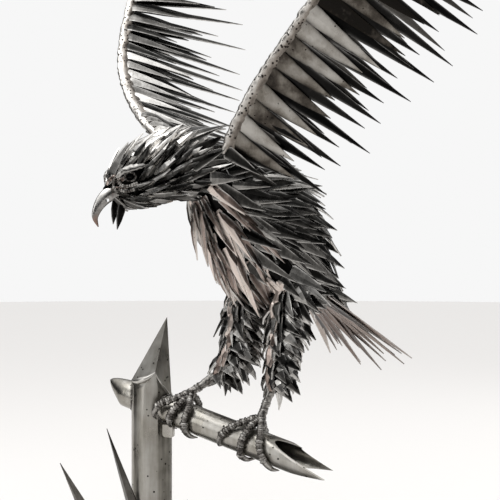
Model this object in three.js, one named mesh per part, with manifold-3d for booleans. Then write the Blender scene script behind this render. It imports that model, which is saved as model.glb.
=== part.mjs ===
// Scrap metal eagle landing on a pipe branch that is welded through an upright pipe post.
// Millimetres, +Z up. The origin is on the ground at the middle of the round base plate.
// The bird flies towards -X and a little towards -Y, so its left side faces the viewer at -Y.

import * as THREE from 'three';
import { mergeVertices } from 'three/addons/utils/BufferGeometryUtils.js';
import Module from 'manifold-3d';

const wasm = await Module();
wasm.setup();

// Driving sizes

const GAP = 0.4;
const BASE_RADIUS = 320;
const BASE_THICK = 12;
const BASE_SIDES = 40;
const PIPE_SIDES = 24;

const POST = { x: -121, y: 0, radius: 44.45, wall: 5.5 };
const POST_TIP = [-88, 8, 613];
const POST_SHOULDERS = [
  [-110, -43, 497],
  [-163, -12, 478],
  [-141, 40, 484],
  [-90, 33, 470],
  [-77, -8, 440],
];

const BRANCH = { radius: 30.15, wall: 3.9, height: 424, plan: -30, slope: 14.2, reach: 455, back: 70 };
const STUB = { tip: [-219, 56, 468], overlap: 5, fullness: 1.6, endWall: 8 };
const LUG = { size: 27, thick: 9, along: 73, corner: 7, turn: 150, drop: 12 };

// Mouth cuts: [start along the branch, turn round it of the face that is cut away, angle to the pipe]

const MOUTH = [
  [298, 25, 10.3],
  [342, -40, 8.4],
  [340, 190, 12.8],
];

const YAW = 30;
const SKIN = 13;
const NEAR = new THREE.Vector3(Math.sin(rad(YAW)), -Math.cos(rad(YAW)), 0);

// Materials, from bright ground steel to the dark scaled plates

const steel = (color, roughness, metalness = 1) =>
  new THREE.MeshStandardMaterial({ color, roughness, metalness });
const MATERIALS = {
  base: steel(0x5c5d5c, 0.55),
  pipe: steel(0xa7a59c, 0.3),
  blade: steel(0x6f6d69, 0.4),
  plate: steel(0x7d7a74, 0.35),
  wing: steel(0xb9b5ab, 0.32),
  tail: steel(0x8d7d73, 0.42),
  weld: steel(0x6c6a64, 0.4),
  beak: steel(0xa39d92, 0.3),
};

function rad(degrees) {
  return (degrees * Math.PI) / 180;
}

function vec(list) {
  return new THREE.Vector3(...list);
}

// Solids: a closed geometry becomes a solid that can be joined and cut

function solidOf(geometry) {
  const bare = geometry.clone();
  bare.deleteAttribute('normal');
  bare.deleteAttribute('uv');
  const merged = mergeVertices(bare, 1e-4);
  const corners = merged.index.array;
  const triangles = [];
  for (let i = 0; i < corners.length; i += 3) {
    const [a, b, c] = corners.slice(i, i + 3);
    if (a !== b && b !== c && c !== a) {
      triangles.push(a, b, c);
    }
  }
  return new wasm.Manifold(
    new wasm.Mesh({
      numProp: 3,
      vertProperties: new Float32Array(merged.attributes.position.array),
      triVerts: new Uint32Array(triangles),
    }),
  );
}

function geometryOf(solid) {
  const mesh = solid.getMesh();
  const geometry = new THREE.BufferGeometry();
  geometry.setAttribute('position', new THREE.BufferAttribute(new Float32Array(mesh.vertProperties), 3));
  geometry.setIndex(new THREE.BufferAttribute(new Uint32Array(mesh.triVerts), 1));
  geometry.computeVertexNormals();
  return geometry;
}

function join(solids) {
  let row = solids;
  while (row.length > 1) {
    const next = [];
    for (let i = 0; i < row.length; i += 2) {
      next.push(i + 1 < row.length ? row[i].add(row[i + 1]) : row[i]);
    }
    row = next;
  }
  return row[0];
}

// A piece loses the space of its neighbour, with the welding gap all round, and any crumb cut off it

function clearOf(solid, neighbour) {
  const shifts = [[1, 1, 1], [1, -1, -1], [-1, 1, -1], [-1, -1, 1], [0, 0, 0]];
  const cut = (left, [x, y, z]) => left.subtract(neighbour.translate([GAP * x, GAP * y, GAP * z]));
  return largest(shifts.reduce(cut, solid));
}

function largest(solid) {
  return solid.decompose().reduce((a, b) => (a.volume() > b.volume() ? a : b));
}

function outermost(solid) {
  const top = (part) => part.boundingBox().max[2];
  return solid.decompose().reduce((a, b) => (top(a) > top(b) ? a : b));
}

// Sections, listed clockwise from the top as seen along the sweep

function roundSection(sides) {
  return Array.from({ length: sides }, (_, i) => {
    const turn = (i / sides) * 2 * Math.PI;
    return [Math.sin(turn), Math.cos(turn)];
  });
}

const DIAMOND = [[0, 1], [1, 0], [0, -1], [-1, 0]];
const RIDGE = [[0, 1], [1, -0.5], [-1, -0.5]];
const FOLD = [[0, 1], [1, -0.4], [1, -1], [0, 0.2], [-1, -1], [-1, -0.4]];
const FOLD_MIDDLE = 0.6;

// A sweep of one section through stations, each with its middle and its two half widths as vectors

function sweep(stations, section, middle = 0) {
  const rows = stations.length - 1;
  const sides = section.length;
  const geometry = new THREE.CylinderGeometry(1, 1, 1, sides, rows);
  const place = geometry.attributes.position;
  const local = new THREE.Vector3();
  for (let i = 0; i < place.count; i += 1) {
    local.fromBufferAttribute(place, i);
    const station = stations[Math.round((local.y + 0.5) * rows)];
    const turn = Math.atan2(local.x, local.z) / (2 * Math.PI);
    const inMiddle = Math.hypot(local.x, local.z) < 0.5;
    const [u, v] = inMiddle ? [0, middle] : section[Math.round(turn * sides + sides) % sides];
    local.copy(station.at).addScaledVector(station.side, u).addScaledVector(station.out, v);
    place.setXYZ(i, local.x, local.y, local.z);
  }
  return solidOf(geometry);
}

// Stations along a path: each row is [x, y, z, width, thickness]; the hint shows which way is out

function along(rows, hint) {
  const points = rows.map((row) => vec(row.slice(0, 3)));
  return rows.map((row, i) => {
    const before = points[Math.max(i - 1, 0)];
    const after = points[Math.min(i + 1, points.length - 1)];
    const ahead = after.clone().sub(before).normalize();
    const side = ahead.clone().cross(vec(hint)).normalize();
    const out = side.clone().cross(ahead).normalize();
    return { at: points[i], side: side.multiplyScalar(row[3] / 2), out: out.multiplyScalar(row[4] / 2) };
  });
}

// Stations between two outlines: each row is [front, back, half width]

function between(rows, inset) {
  return rows.map(([front, back, half]) => {
    const out = vec(back).sub(vec(front)).multiplyScalar(0.5);
    const at = vec(front).add(out);
    out.setLength(out.length() - inset);
    return { at, out, side: NEAR.clone().multiplyScalar(-(half - inset)) };
  });
}

// One pointed plate from its root to its tip

function lance(root, tip, width, thick, out) {
  const belly = root.clone().lerp(tip, 0.3);
  const rows = [
    [...root.toArray(), width * 0.55, thick],
    [...belly.toArray(), width, thick * 0.8],
    [...tip.toArray(), 0, 0],
  ];
  return sweep(along(rows, out.toArray()), DIAMOND);
}

function sliver(root, tip, width, thick, out, section = DIAMOND) {
  const rows = [
    [...root.toArray(), width, thick],
    [...tip.toArray(), 0, 0],
  ];
  return sweep(along(rows, out.toArray()), section);
}

// Plates laid like shingles round a form: rooted just under its skin, pointing on to the next stations

function shingles(stations, form) {
  const plates = [];
  for (let i = form.first; i <= form.last; i += 1) {
    const here = stations[i];
    const next = stations[Math.min(i + 1, stations.length - 1)];
    const ahead = next.at.clone().sub(here.at).normalize();
    for (let j = 0; j < form.round; j += 1) {
      const turn = ((j + (i % 2) / 2) / form.round) * 2 * Math.PI;
      const reach = here.side.clone().multiplyScalar(Math.sin(turn));
      reach.addScaledVector(here.out, Math.cos(turn));
      const away = reach.clone().normalize();
      const flow = ahead.clone().addScaledVector(away, -ahead.dot(away)).normalize();
      const root = here.at.clone().add(reach).addScaledVector(away, -form.bury);
      const tip = root.clone().addScaledVector(flow, form.length);
      tip.addScaledVector(away, form.bury + form.lift);
      plates.push(sliver(root, tip, form.width, form.thick, away, RIDGE));
    }
  }
  return plates;
}

// Cuts: everything on the far side of a plane is taken off a solid

function cutBeyond(solid, point, normal) {
  const size = 2000;
  const block = new THREE.BoxGeometry(size, size, size);
  const turn = new THREE.Quaternion().setFromUnitVectors(new THREE.Vector3(0, 0, 1), normal);
  block.translate(0, 0, size / 2).applyQuaternion(turn).translate(...point.toArray());
  return solid.subtract(solidOf(block));
}

// A rod along the line from one point to another

function rod(from, to, radius) {
  const line = to.clone().sub(from);
  const geometry = new THREE.CylinderGeometry(radius, radius, line.length(), PIPE_SIDES);
  const upright = new THREE.Vector3(0, 1, 0);
  const turn = new THREE.Quaternion().setFromUnitVectors(upright, line.clone().normalize());
  geometry.applyQuaternion(turn).translate(...from.clone().add(to).multiplyScalar(0.5).toArray());
  return solidOf(geometry);
}

// The branch: a pipe through the post, its back end drawn up to a point, its near end cut to two prongs

const branchWay = new THREE.Vector3(1, 0, 0)
  .applyAxisAngle(new THREE.Vector3(0, 1, 0), rad(BRANCH.slope))
  .applyAxisAngle(new THREE.Vector3(0, 0, 1), rad(BRANCH.plan));
const branchMiddle = new THREE.Vector3(POST.x, POST.y, BRANCH.height);
const branchSide = new THREE.Vector3(0, 0, 1).cross(branchWay).normalize();
const branchUp = branchWay.clone().cross(branchSide).normalize();

function onBranch(distance) {
  return branchMiddle.clone().addScaledVector(branchWay, distance);
}

// A point beside the branch, by its place along it, the turn from the top to the near side, and the radius

function offBranch(turn) {
  const away = branchUp.clone().multiplyScalar(Math.cos(rad(turn)));
  return away.addScaledVector(branchSide, -Math.sin(rad(turn)));
}

function aroundBranch(distance, turn, radius) {
  return onBranch(distance).addScaledVector(offBranch(turn), radius);
}

function stubPoint() {
  const start = onBranch(-BRANCH.back + STUB.overlap);
  const end = vec(STUB.tip);
  const stations = [0, 0.5, 0.8, 1].map((t) => {
    const size = Math.max((BRANCH.radius - GAP) * Math.sqrt(1 - t ** STUB.fullness), 2 * GAP);
    const side = branchSide.clone().multiplyScalar(-size);
    return { at: start.clone().lerp(end, t), side, out: branchUp.clone().multiplyScalar(size) };
  });
  return sweep(stations.reverse(), roundSection(PIPE_SIDES));
}

function buildBranch() {
  const outer = rod(onBranch(-BRANCH.back), onBranch(BRANCH.reach), BRANCH.radius);
  const boreStart = onBranch(-BRANCH.back + STUB.endWall);
  const bore = rod(boreStart, onBranch(BRANCH.reach + BRANCH.radius), BRANCH.radius - BRANCH.wall);
  let branch = outer.add(stubPoint()).subtract(bore);
  for (const [start, turn, angle] of MOUTH) {
    const normal = offBranch(turn).multiplyScalar(Math.cos(rad(angle)));
    normal.addScaledVector(branchWay, Math.sin(rad(angle)));
    branch = cutBeyond(branch, aroundBranch(start, turn, BRANCH.radius), normal);
  }
  return largest(branch);
}

// The post: a pipe whose top is cut in petals and folded to an off-centre point

function buildPost() {
  const foot = new THREE.Vector3(POST.x, POST.y, BASE_THICK + GAP);
  const top = new THREE.Vector3(POST.x, POST.y, POST_TIP[2] + POST.wall);
  let outer = rod(foot, top, POST.radius);
  let inner = rod(foot.clone().setZ(0), top, POST.radius - POST.wall);
  const tip = vec(POST_TIP);
  POST_SHOULDERS.forEach((corner, i) => {
    const a = vec(corner);
    const b = vec(POST_SHOULDERS[(i + 1) % POST_SHOULDERS.length]);
    const normal = b.clone().sub(tip).cross(a.clone().sub(tip)).normalize();
    if (normal.dot(a.clone().sub(new THREE.Vector3(POST.x, POST.y, a.z))) < 0) {
      normal.negate();
    }
    outer = cutBeyond(outer, tip, normal);
    inner = cutBeyond(inner, tip.clone().addScaledVector(normal, -POST.wall), normal);
  });
  const passage = rod(onBranch(-2 * POST.radius), onBranch(2 * POST.radius), BRANCH.radius + GAP);
  return largest(outer.subtract(inner).subtract(passage));
}

// The bird's outlines: front edge, back edge and half width, from the face to the tail root

const BODY = [
  [[-197, -215, 868], [-200, -217, 897], 17],
  [[-178, -204, 854], [-187, -209, 928], 30],
  [[-156, -191, 845], [-173, -201, 954], 40],
  [[-124, -172, 850], [-147, -186, 979], 47],
  [[-89, -152, 855], [-110, -164, 1003], 52],
  [[-54, -132, 859], [-69, -141, 1018], 58],
  [[-24, -115, 856], [-10, -107, 998], 66],
  [[-18, -111, 822], [75, -58, 966], 76],
  [[0, -101, 781], [175, 0, 925], 84],
  [[14, -93, 750], [226, 30, 858], 84],
  [[27, -85, 722], [250, 43, 785], 78],
  [[52, -71, 694], [264, 51, 728], 70],
  [[118, -33, 662], [280, 60, 683], 56],
  [[205, 18, 636], [288, 66, 664], 36],
];

// Plates over the body: stations covered, plates round each, sizes, and how deep and high root and tip sit

const NECK_PLATES = { first: 2, last: 5, round: 7, length: 52, width: 17, thick: 9, bury: 5, lift: 11 };
const TRUNK_PLATES = { first: 6, last: 12, round: 8, length: 70, width: 34, thick: 12, bury: 8, lift: 16 };
const LEG_PLATES = { first: 1, last: 5, round: 6, length: 42, width: 24, thick: 9, bury: 5, lift: 13 };

const LEGS = {
  near: [
    [150, -70, 720, 96, 84],
    [176, -76, 680, 78, 76],
    [166, -85, 632, 58, 60],
    [161, -95, 580, 50, 54],
    [156, -104, 528, 44, 50],
    [149, -112, 482, 34, 40],
    [139, -117, 459, 20, 22],
  ],
  far: [
    [86, 34, 722, 96, 84],
    [90, 38, 680, 78, 76],
    [77, 25, 627, 60, 66],
    [69, 12, 572, 54, 62],
    [58, 0, 527, 48, 56],
    [34, -12, 492, 34, 42],
    [12, -20, 478, 20, 22],
  ],
};

const WRISTS = {
  near: [
    [60, -100, 905],
    [46, -150, 957],
    [97, -196, 1069],
    [178, -250, 1188],
    [253, -300, 1284],
    [351, -335, 1354],
    [472, -362, 1399],
  ],
  far: [
    [40, -70, 905],
    [-22, -35, 955],
    [-138, 62, 1049],
    [-204, 190, 1187],
    [-201, 290, 1352],
    [-152, 345, 1515],
  ],
};

// Feathers: way is their direction, which swings to end over the outer part of the wing from fanFrom on

const FEATHERS = {
  near: { way: [0.8, 0.28, -0.53], end: [0.98, 0.1, 0.02], up: [0, -0.87, -0.46], first: 0.2 },
  far: { way: [0.9, 0.32, -0.29], end: [0.62, 0.35, 0.5], up: [0.4, -0.72, 0.53], first: 0.22 },
};
const FEATHER = {
  count: 21,
  last: 0.985,
  fanFrom: 0.6,
  growth: 1.3,
  rootLength: 190,
  fullLength: 295,
  shortShare: 0.88,
  width: 22,
  thick: 4,
  drop: 4,
};
const COVERT = { share: 0.6, width: 30, thick: 4 };
const BAND = { steps: 12, width: 30, thick: 17, tipWidth: 12, tipThick: 9 };

const TAIL = {
  count: 9,
  root: [240, 36, 655],
  way: [0.67, 0.3, -0.68],
  spread: 36,
  rootHalf: 34,
  length: 240,
  shortShare: 0.86,
  width: 26,
  thick: 4,
  layer: 3.4,
};

function featherWay(wing, s) {
  const fan = Math.max(0, (s - FEATHER.fanFrom) / (1 - FEATHER.fanFrom)) ** 2;
  return vec(wing.way).lerp(vec(wing.end), fan).normalize();
}

function buildWing(side) {
  const wing = FEATHERS[side];
  const curve = new THREE.CatmullRomCurve3(WRISTS[side].map(vec));
  const up = vec(wing.up).normalize();
  const band = Array.from({ length: BAND.steps + 1 }, (_, i) => {
    const s = i / BAND.steps;
    const width = THREE.MathUtils.lerp(BAND.width, BAND.tipWidth, s ** 2);
    const thick = THREE.MathUtils.lerp(BAND.thick, BAND.tipThick, s ** 2);
    return [...curve.getPointAt(s).toArray(), width, thick];
  });
  const pieces = [sweep(along(band, wing.up), roundSection(8))];
  const step = (FEATHER.last - wing.first) / (FEATHER.count - 1);
  for (let i = 0; i < FEATHER.count; i += 1) {
    const s = wing.first + i * step;
    const way = featherWay(wing, s);
    const grown = Math.sin((Math.min(s * FEATHER.growth, 1) * Math.PI) / 2);
    const length = THREE.MathUtils.lerp(FEATHER.rootLength, FEATHER.fullLength, grown);
    const reach = length * (i % 2 === 0 ? 1 : FEATHER.shortShare);
    const root = curve.getPointAt(s).addScaledVector(up, -FEATHER.drop);
    const tip = root.clone().addScaledVector(way, reach);
    pieces.push(sliver(root, tip, FEATHER.width, FEATHER.thick, up));
    const top = curve.getPointAt(Math.min(s + step / 2, 1)).addScaledVector(up, FEATHER.drop);
    const cover = top.clone().addScaledVector(way, length * COVERT.share);
    pieces.push(sliver(top, cover, COVERT.width, COVERT.thick, up));
  }
  return join(pieces);
}

function buildBody() {
  const stations = between(BODY, SKIN);
  const pieces = [sweep(stations.slice().reverse(), roundSection(12))];
  pieces.push(...shingles(stations, NECK_PLATES), ...shingles(stations, TRUNK_PLATES));
  for (const leg of Object.values(LEGS)) {
    const column = along(leg, [1, 0.4, 0]);
    pieces.push(sweep(column, roundSection(8)), ...shingles(column, LEG_PLATES));
  }
  return largest(join(pieces));
}

// The tail is a flat fan of plates in two layers, so that neighbours lap without meeting

function buildTailPlate(i) {
  const across = i / (TAIL.count - 1) - 0.5;
  const way = vec(TAIL.way).normalize();
  const upper = NEAR.clone().cross(way).normalize();
  const ahead = way.clone().applyAxisAngle(upper, rad(-2 * across * TAIL.spread));
  const root = vec(TAIL.root)
    .addScaledVector(NEAR, 2 * across * TAIL.rootHalf)
    .addScaledVector(upper, i % 2 === 0 ? TAIL.layer : -TAIL.layer);
  const length = TAIL.length * (i % 2 === 0 ? 1 : TAIL.shortShare);
  return lance(root, root.clone().addScaledVector(ahead, length), TAIL.width, TAIL.thick, upper);
}

// Feet: a bare shank, three toes over the near side of the branch and one behind, each with its claw.
// A toe row is [distance along the branch, turn round it, height over its skin, thickness].

const FEET = {
  near: {
    knee: [141, -117, 474],
    heel: [118, -128, 411],
    toes: [
      [
        [258, 8, 20, 15], [235, 28, 13, 14], [216, 58, 9, 13],
        [203, 95, 8, 11], [199, 140, 7, 5], [199, 156, 2, 1.5],
      ],
      [
        [262, 14, 20, 15], [248, 44, 14, 14], [242, 80, 9, 14],
        [243, 125, 8, 12], [246, 168, 7, 8], [256, 196, 3, 1.5],
      ],
      [
        [266, 8, 20, 15], [266, 36, 14, 14], [268, 76, 9, 14],
        [275, 112, 8, 12], [288, 144, 7, 8], [302, 160, 3, 1.5],
      ],
      [
        [262, -6, 20, 15], [272, -40, 11, 14], [279, -80, 9, 13],
        [279, -130, 8, 10], [273, -176, 6, 1.5],
      ],
    ],
  },
  far: {
    knee: [16, -20, 482],
    heel: [-34, -34, 450],
    toes: [
      [
        [98, 10, 22, 15], [76, 34, 19, 14], [53, 58, 17, 14],
        [32, 78, 20, 12], [22, 104, 18, 9], [28, 122, 13, 1.5],
      ],
      [
        [98, 16, 20, 15], [80, 46, 14, 14], [64, 74, 11, 13],
        [60, 112, 8, 11], [68, 134, 6, 5], [74, 146, 2, 1.5],
      ],
      [
        [102, 12, 20, 15], [96, 46, 14, 14], [92, 84, 9, 14],
        [95, 124, 8, 12], [102, 150, 7, 8], [113, 172, 3, 1.5],
      ],
      [
        [100, -6, 20, 15], [106, -44, 11, 14], [108, -90, 9, 13],
        [104, -140, 8, 9], [98, 176, 6, 1.5],
      ],
    ],
  },
};

function buildFoot(foot) {
  const knee = vec(foot.knee);
  const heel = vec(foot.heel);
  const middle = knee.clone().lerp(heel, 0.55);
  const shank = [
    [...knee.toArray(), 21, 21],
    [...middle.toArray(), 17, 17],
    [...heel.toArray(), 21, 21],
    [...heel.clone().addScaledVector(heel.clone().sub(knee).normalize(), 9).toArray(), 12, 12],
  ];
  const pieces = [sweep(along(shank, [0, -1, 0]), roundSection(8))];
  for (const toe of foot.toes) {
    const rows = toe.map(([distance, turn, lift, thick]) => [
      ...aroundBranch(distance, turn, BRANCH.radius + lift).toArray(),
      thick,
      thick,
    ]);
    rows[0] = [...heel.toArray(), rows[0][3], rows[0][4]];
    pieces.push(sweep(along(rows, branchWay.toArray()), roundSection(5)));
  }
  return join(pieces);
}

// Beak: a hooked upper half and two thin plates that hang as the open lower half

const BEAK = [
  [-168, -197, 884, 30, 34],
  [-186, -208, 874, 27, 31],
  [-201, -217, 860, 21, 26],
  [-211, -223, 842, 14, 19],
  [-214, -224, 824, 8, 12],
  [-208, -221, 806, 1.5, 2],
];
const JAWS = {
  beak_lower_near: [[-160, -208, 862], [-171, -212, 801], 17],
  beak_lower_far: [[-178, -192, 862], [-181, -196, 812], 15],
};

// Blades: folded pointed plates that spring from the foot of the post and lean out, trimmed by the post.
// A row is [foot x, foot y, lean in x, lean in y, height, width, face x, face y].

const BLADES = [
  [-81, -26, -133, -22, 363, 40, -0.4, -0.9],
  [-149, -12, -170, -12, 284, 54, -0.4, -0.9],
  [-150, 12, -96, 96, 150, 44, -0.7, 0.7],
  [-100, 22, 50, 112, 168, 44, 0.4, 0.9],
  [-96, -10, 112, -44, 142, 42, 0.9, -0.35],
];
const BLADE = { thick: 11, footShare: 1.6, bellyShare: 1.4, bellyWidth: 0.82, point: 1.4, bury: 60 };

function buildBlade([x, y, leanX, leanY, height, width, faceX, faceY]) {
  const foot = new THREE.Vector3(x, y, BASE_THICK + GAP - BLADE.bury);
  const tip = new THREE.Vector3(x + leanX, y + leanY, BASE_THICK + height);
  const ahead = tip.clone().sub(foot).normalize();
  const away = new THREE.Vector3(faceX, faceY, 0).normalize();
  const out = away.addScaledVector(ahead, -away.dot(ahead)).normalize();
  const belly = foot.clone().lerp(tip, 0.5);
  const rows = [
    [...foot.toArray(), width, BLADE.thick * BLADE.footShare],
    [...belly.toArray(), width * BLADE.bellyWidth, BLADE.thick * BLADE.bellyShare],
    [...tip.toArray(), BLADE.point, BLADE.point],
  ];
  const ground = new THREE.Vector3(POST.x, POST.y, 0);
  const core = rod(ground, ground.clone().setZ(POST_TIP[2]), POST.radius + GAP);
  const blade = sweep(along(rows, out.toArray()), FOLD, FOLD_MIDDLE).subtract(core);
  const level = new THREE.Vector3(0, 0, BASE_THICK + GAP);
  return outermost(cutBeyond(blade, level, new THREE.Vector3(0, 0, -1)));
}

function buildLug() {
  const half = LUG.size / 2;
  const outline = new THREE.Shape();
  outline.moveTo(-half, half);
  outline.lineTo(-half, -half + LUG.corner);
  outline.absarc(-half + LUG.corner, -half + LUG.corner, LUG.corner, Math.PI, 1.5 * Math.PI, false);
  outline.lineTo(half - LUG.corner, -half);
  outline.absarc(half - LUG.corner, -half + LUG.corner, LUG.corner, 1.5 * Math.PI, 2 * Math.PI, false);
  outline.lineTo(half, half);
  const flat = { depth: LUG.thick, bevelEnabled: false, curveSegments: 4 };
  const geometry = new THREE.ExtrudeGeometry(outline, flat);
  geometry.rotateX(Math.PI / 2).rotateZ(rad(BRANCH.plan));
  geometry.translate(...aroundBranch(LUG.along, LUG.turn, BRANCH.radius + LUG.drop).toArray());
  return solidOf(geometry);
}

// The finished sculpture

const sculpture = new THREE.Group();

function place(name, solid, material) {
  const mesh = new THREE.Mesh(geometryOf(solid), material);
  mesh.name = name;
  sculpture.add(mesh);
}

const basePlate = new THREE.Mesh(
  new THREE.CylinderGeometry(BASE_RADIUS, BASE_RADIUS, BASE_THICK, BASE_SIDES),
  MATERIALS.base,
);
basePlate.name = 'base_plate';
basePlate.rotation.x = Math.PI / 2;
basePlate.position.z = BASE_THICK / 2;
sculpture.add(basePlate);

const branch = buildBranch();
const post = buildPost();
const body = buildBody();
place('post', post, MATERIALS.pipe);
place('branch', branch, MATERIALS.pipe);
const lug = clearOf(clearOf(buildLug(), branch), post);
place('branch_lug', lug, MATERIALS.pipe);
place('body', body, MATERIALS.plate);

const placed = [];
for (const [i, row] of BLADES.entries()) {
  const blade = placed.reduce(clearOf, buildBlade(row));
  placed.push(blade);
  place(`blade_${i + 1}`, blade, MATERIALS.blade);
}

const wings = {};
for (const side of ['near', 'far']) {
  wings[side] = clearOf(buildWing(side), body);
  place(`wing_${side}`, wings[side], MATERIALS.wing);
  const foot = [body, branch, post, lug].reduce(clearOf, buildFoot(FEET[side]));
  place(`foot_${side}`, foot, MATERIALS.weld);
}
for (let i = 0; i < TAIL.count; i += 1) {
  place(`tail_plate_${i + 1}`, clearOf(buildTailPlate(i), body), MATERIALS.tail);
}

const upperBeak = clearOf(sweep(along(BEAK, [-0.6, -0.35, 0.7]), roundSection(8)), body);
place('beak_upper', upperBeak, MATERIALS.beak);
for (const [name, [root, tip, width]] of Object.entries(JAWS)) {
  const plate = lance(vec(root), vec(tip), width, 4, NEAR);
  place(name, clearOf(clearOf(plate, body), upperBeak), MATERIALS.plate);
}

export default sculpture;
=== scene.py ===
# %% [markdown]
# # A scrap metal eagle, landing on a pipe branch
# The sculpture is welded up from a few hundred pointed plates, two pipes and a lot of weld metal.
# The imported CAD model fixes where every part sits. This lesson gives each part its real surface.
# The first cell loads that frame.

# %% Load the frame
import math

import bmesh
import bpy
import numpy as np
from mathutils import Matrix, Vector, noise


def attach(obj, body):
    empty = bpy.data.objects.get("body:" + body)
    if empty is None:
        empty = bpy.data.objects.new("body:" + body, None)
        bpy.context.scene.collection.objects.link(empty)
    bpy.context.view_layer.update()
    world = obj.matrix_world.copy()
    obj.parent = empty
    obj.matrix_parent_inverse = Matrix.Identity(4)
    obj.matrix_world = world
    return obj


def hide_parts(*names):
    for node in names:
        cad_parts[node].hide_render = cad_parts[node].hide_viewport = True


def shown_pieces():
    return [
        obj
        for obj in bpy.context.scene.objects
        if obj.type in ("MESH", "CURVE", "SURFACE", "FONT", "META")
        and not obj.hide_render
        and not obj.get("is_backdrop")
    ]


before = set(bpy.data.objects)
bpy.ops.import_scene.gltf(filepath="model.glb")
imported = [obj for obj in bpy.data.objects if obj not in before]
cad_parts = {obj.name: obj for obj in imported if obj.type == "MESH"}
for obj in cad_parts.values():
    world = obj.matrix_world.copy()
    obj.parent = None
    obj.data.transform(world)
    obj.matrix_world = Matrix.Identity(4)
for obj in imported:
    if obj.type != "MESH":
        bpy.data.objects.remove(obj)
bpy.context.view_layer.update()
MM = 0.001

# %% [markdown]
# ## Camera
# The bird is seen from its left front, at the height of its chest, with a long lens.
# The post's pipe gives the scale: 88.9 mm across shows how much of the scene the picture covers.

# %% Camera
CAMERA_PLACE = Vector((0.095, -2.4, 0.76))
SENSOR = 36
PICTURE_WIDTH = 1.1

camera_data = bpy.data.cameras.new("camera")
camera_data.sensor_width = SENSOR
camera_data.lens = SENSOR * -CAMERA_PLACE.y / PICTURE_WIDTH
camera = bpy.data.objects.new("camera", camera_data)
camera.location = CAMERA_PLACE
camera.rotation_euler = (math.radians(90), 0, 0)
bpy.context.collection.objects.link(camera)
bpy.context.scene.camera = camera
bpy.context.scene.view_settings.view_transform = "Standard"
print("camera lens", round(camera_data.lens, 1), "mm")

# %% [markdown]
# ## Helpers
# Sky, finishes and plates are all node trees, and a tree reads best as a list of nodes with what goes
# into each of them. So one function adds a node and fills its inputs, by links or with plain values.
# The others make a mesh from one of Blender's own shapes, edit a mesh and put a mesh in the scene.

# %% Helpers for nodes and meshes


def fill(tree, sockets, values):
    """Link each input to another node's output, or else set its value."""
    for key, value in values.items():
        if isinstance(value, bpy.types.NodeSocket):
            tree.links.new(value, sockets[key])
        elif value is not None:
            sockets[key].default_value = value


def add(tree, kind, values=None, **settings):
    """Add a node, set it up, fill its inputs and return its outputs."""
    node = tree.nodes.new(kind)
    for key, value in settings.items():
        setattr(node, key, value)
    fill(tree, node.inputs, values or {})
    return node.outputs


def add_math(tree, operation, a, b):
    return add(tree, "ShaderNodeMath", {0: a, 1: b}, operation=operation)[0]


def add_ramp(tree, value, stops):
    """A colour ramp through the stops, read at the value."""
    node = tree.nodes.new("ShaderNodeValToRGB")
    elements = node.color_ramp.elements
    while len(elements) < len(stops):
        elements.new(0.5)
    for stop, (at, colour) in zip(elements, stops):
        stop.position = at
        stop.color = (*colour, 1)
    fill(tree, node.inputs, {"Fac": value})
    return node.outputs["Color"]


def new_tree(name, kind, inputs, outputs):
    """A node group whose sockets are given by name as (type, default)."""
    tree = bpy.data.node_groups.new(name, kind)
    for way, sockets in (("INPUT", inputs), ("OUTPUT", outputs)):
        for label, (sort, *default) in sockets.items():
            socket = tree.interface.new_socket(name=label, in_out=way, socket_type="NodeSocket" + sort)
            if default:
                socket.default_value = default[0]
    return tree, tree.nodes.new("NodeGroupInput").outputs, tree.nodes.new("NodeGroupOutput").inputs


def new_piece(name, mesh, material):
    piece = bpy.data.objects.new(name, mesh)
    bpy.context.collection.objects.link(piece)
    if material is not None:
        mesh.materials.clear()
        mesh.materials.append(material)
    return piece


def shape_mesh(name, create, place, work=None, **settings):
    """A mesh of one of Blender's own shapes, put in place by a matrix and then worked on."""
    bm = bmesh.new()
    create(bm, **settings)
    bmesh.ops.transform(bm, matrix=place, verts=bm.verts)
    if work:
        work(bm)
    mesh = bpy.data.meshes.new(name)
    bm.to_mesh(mesh)
    bm.free()
    return mesh


def remesh(mesh, work):
    """Run a function on the editable form of a mesh and write the result back."""
    bm = bmesh.new()
    bm.from_mesh(mesh)
    work(bm)
    bm.to_mesh(mesh)
    bm.free()


print("helpers for nodes and meshes are ready")

# %% [markdown]
# ## Sky
# Bare steel shows what surrounds it, so the surroundings are most of its look. An overcast sky is
# white overhead and the horizon is dim. Plates that face up turn white, upright ones stay dark, and
# the underside of the wing picks up the pale ground. The backdrop itself is plain and nearly white.

# %% Sky
SKY_STOPS = [
    (0.0, (0.13, 0.118, 0.105)), (0.44, (0.11, 0.10, 0.09)), (0.50, (0.025, 0.024, 0.023)),
    (0.57, (0.03, 0.03, 0.031)), (0.65, (0.09, 0.092, 0.095)), (0.74, (0.38, 0.38, 0.38)),
    (0.84, (1.15, 1.15, 1.15)), (1.0, (2.0, 2.0, 2.0)),
]
BACKDROP = (0.93, 0.93, 0.93, 1)


def make_sky():
    world = bpy.data.worlds.new("overcast")
    world.use_nodes = True
    tree = world.node_tree
    tree.nodes.clear()
    place = add(tree, "ShaderNodeTexCoord")["Generated"]
    height = add(tree, "ShaderNodeSeparateXYZ", {0: place})["Z"]
    share = add(tree, "ShaderNodeMapRange", {"Value": height, "From Min": -1})["Result"]
    light = add(tree, "ShaderNodeBackground", {"Color": add_ramp(tree, share, SKY_STOPS)})[0]
    seen = add(tree, "ShaderNodeBackground", {"Color": BACKDROP})[0]
    direct = add(tree, "ShaderNodeLightPath")["Is Camera Ray"]
    mix = add(tree, "ShaderNodeMixShader", {0: direct, 1: light, 2: seen})[0]
    add(tree, "ShaderNodeOutputWorld", {"Surface": mix})
    bpy.context.scene.world = world


make_sky()
print("sky:", len(SKY_STOPS), "colours from straight down to straight up")

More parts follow.
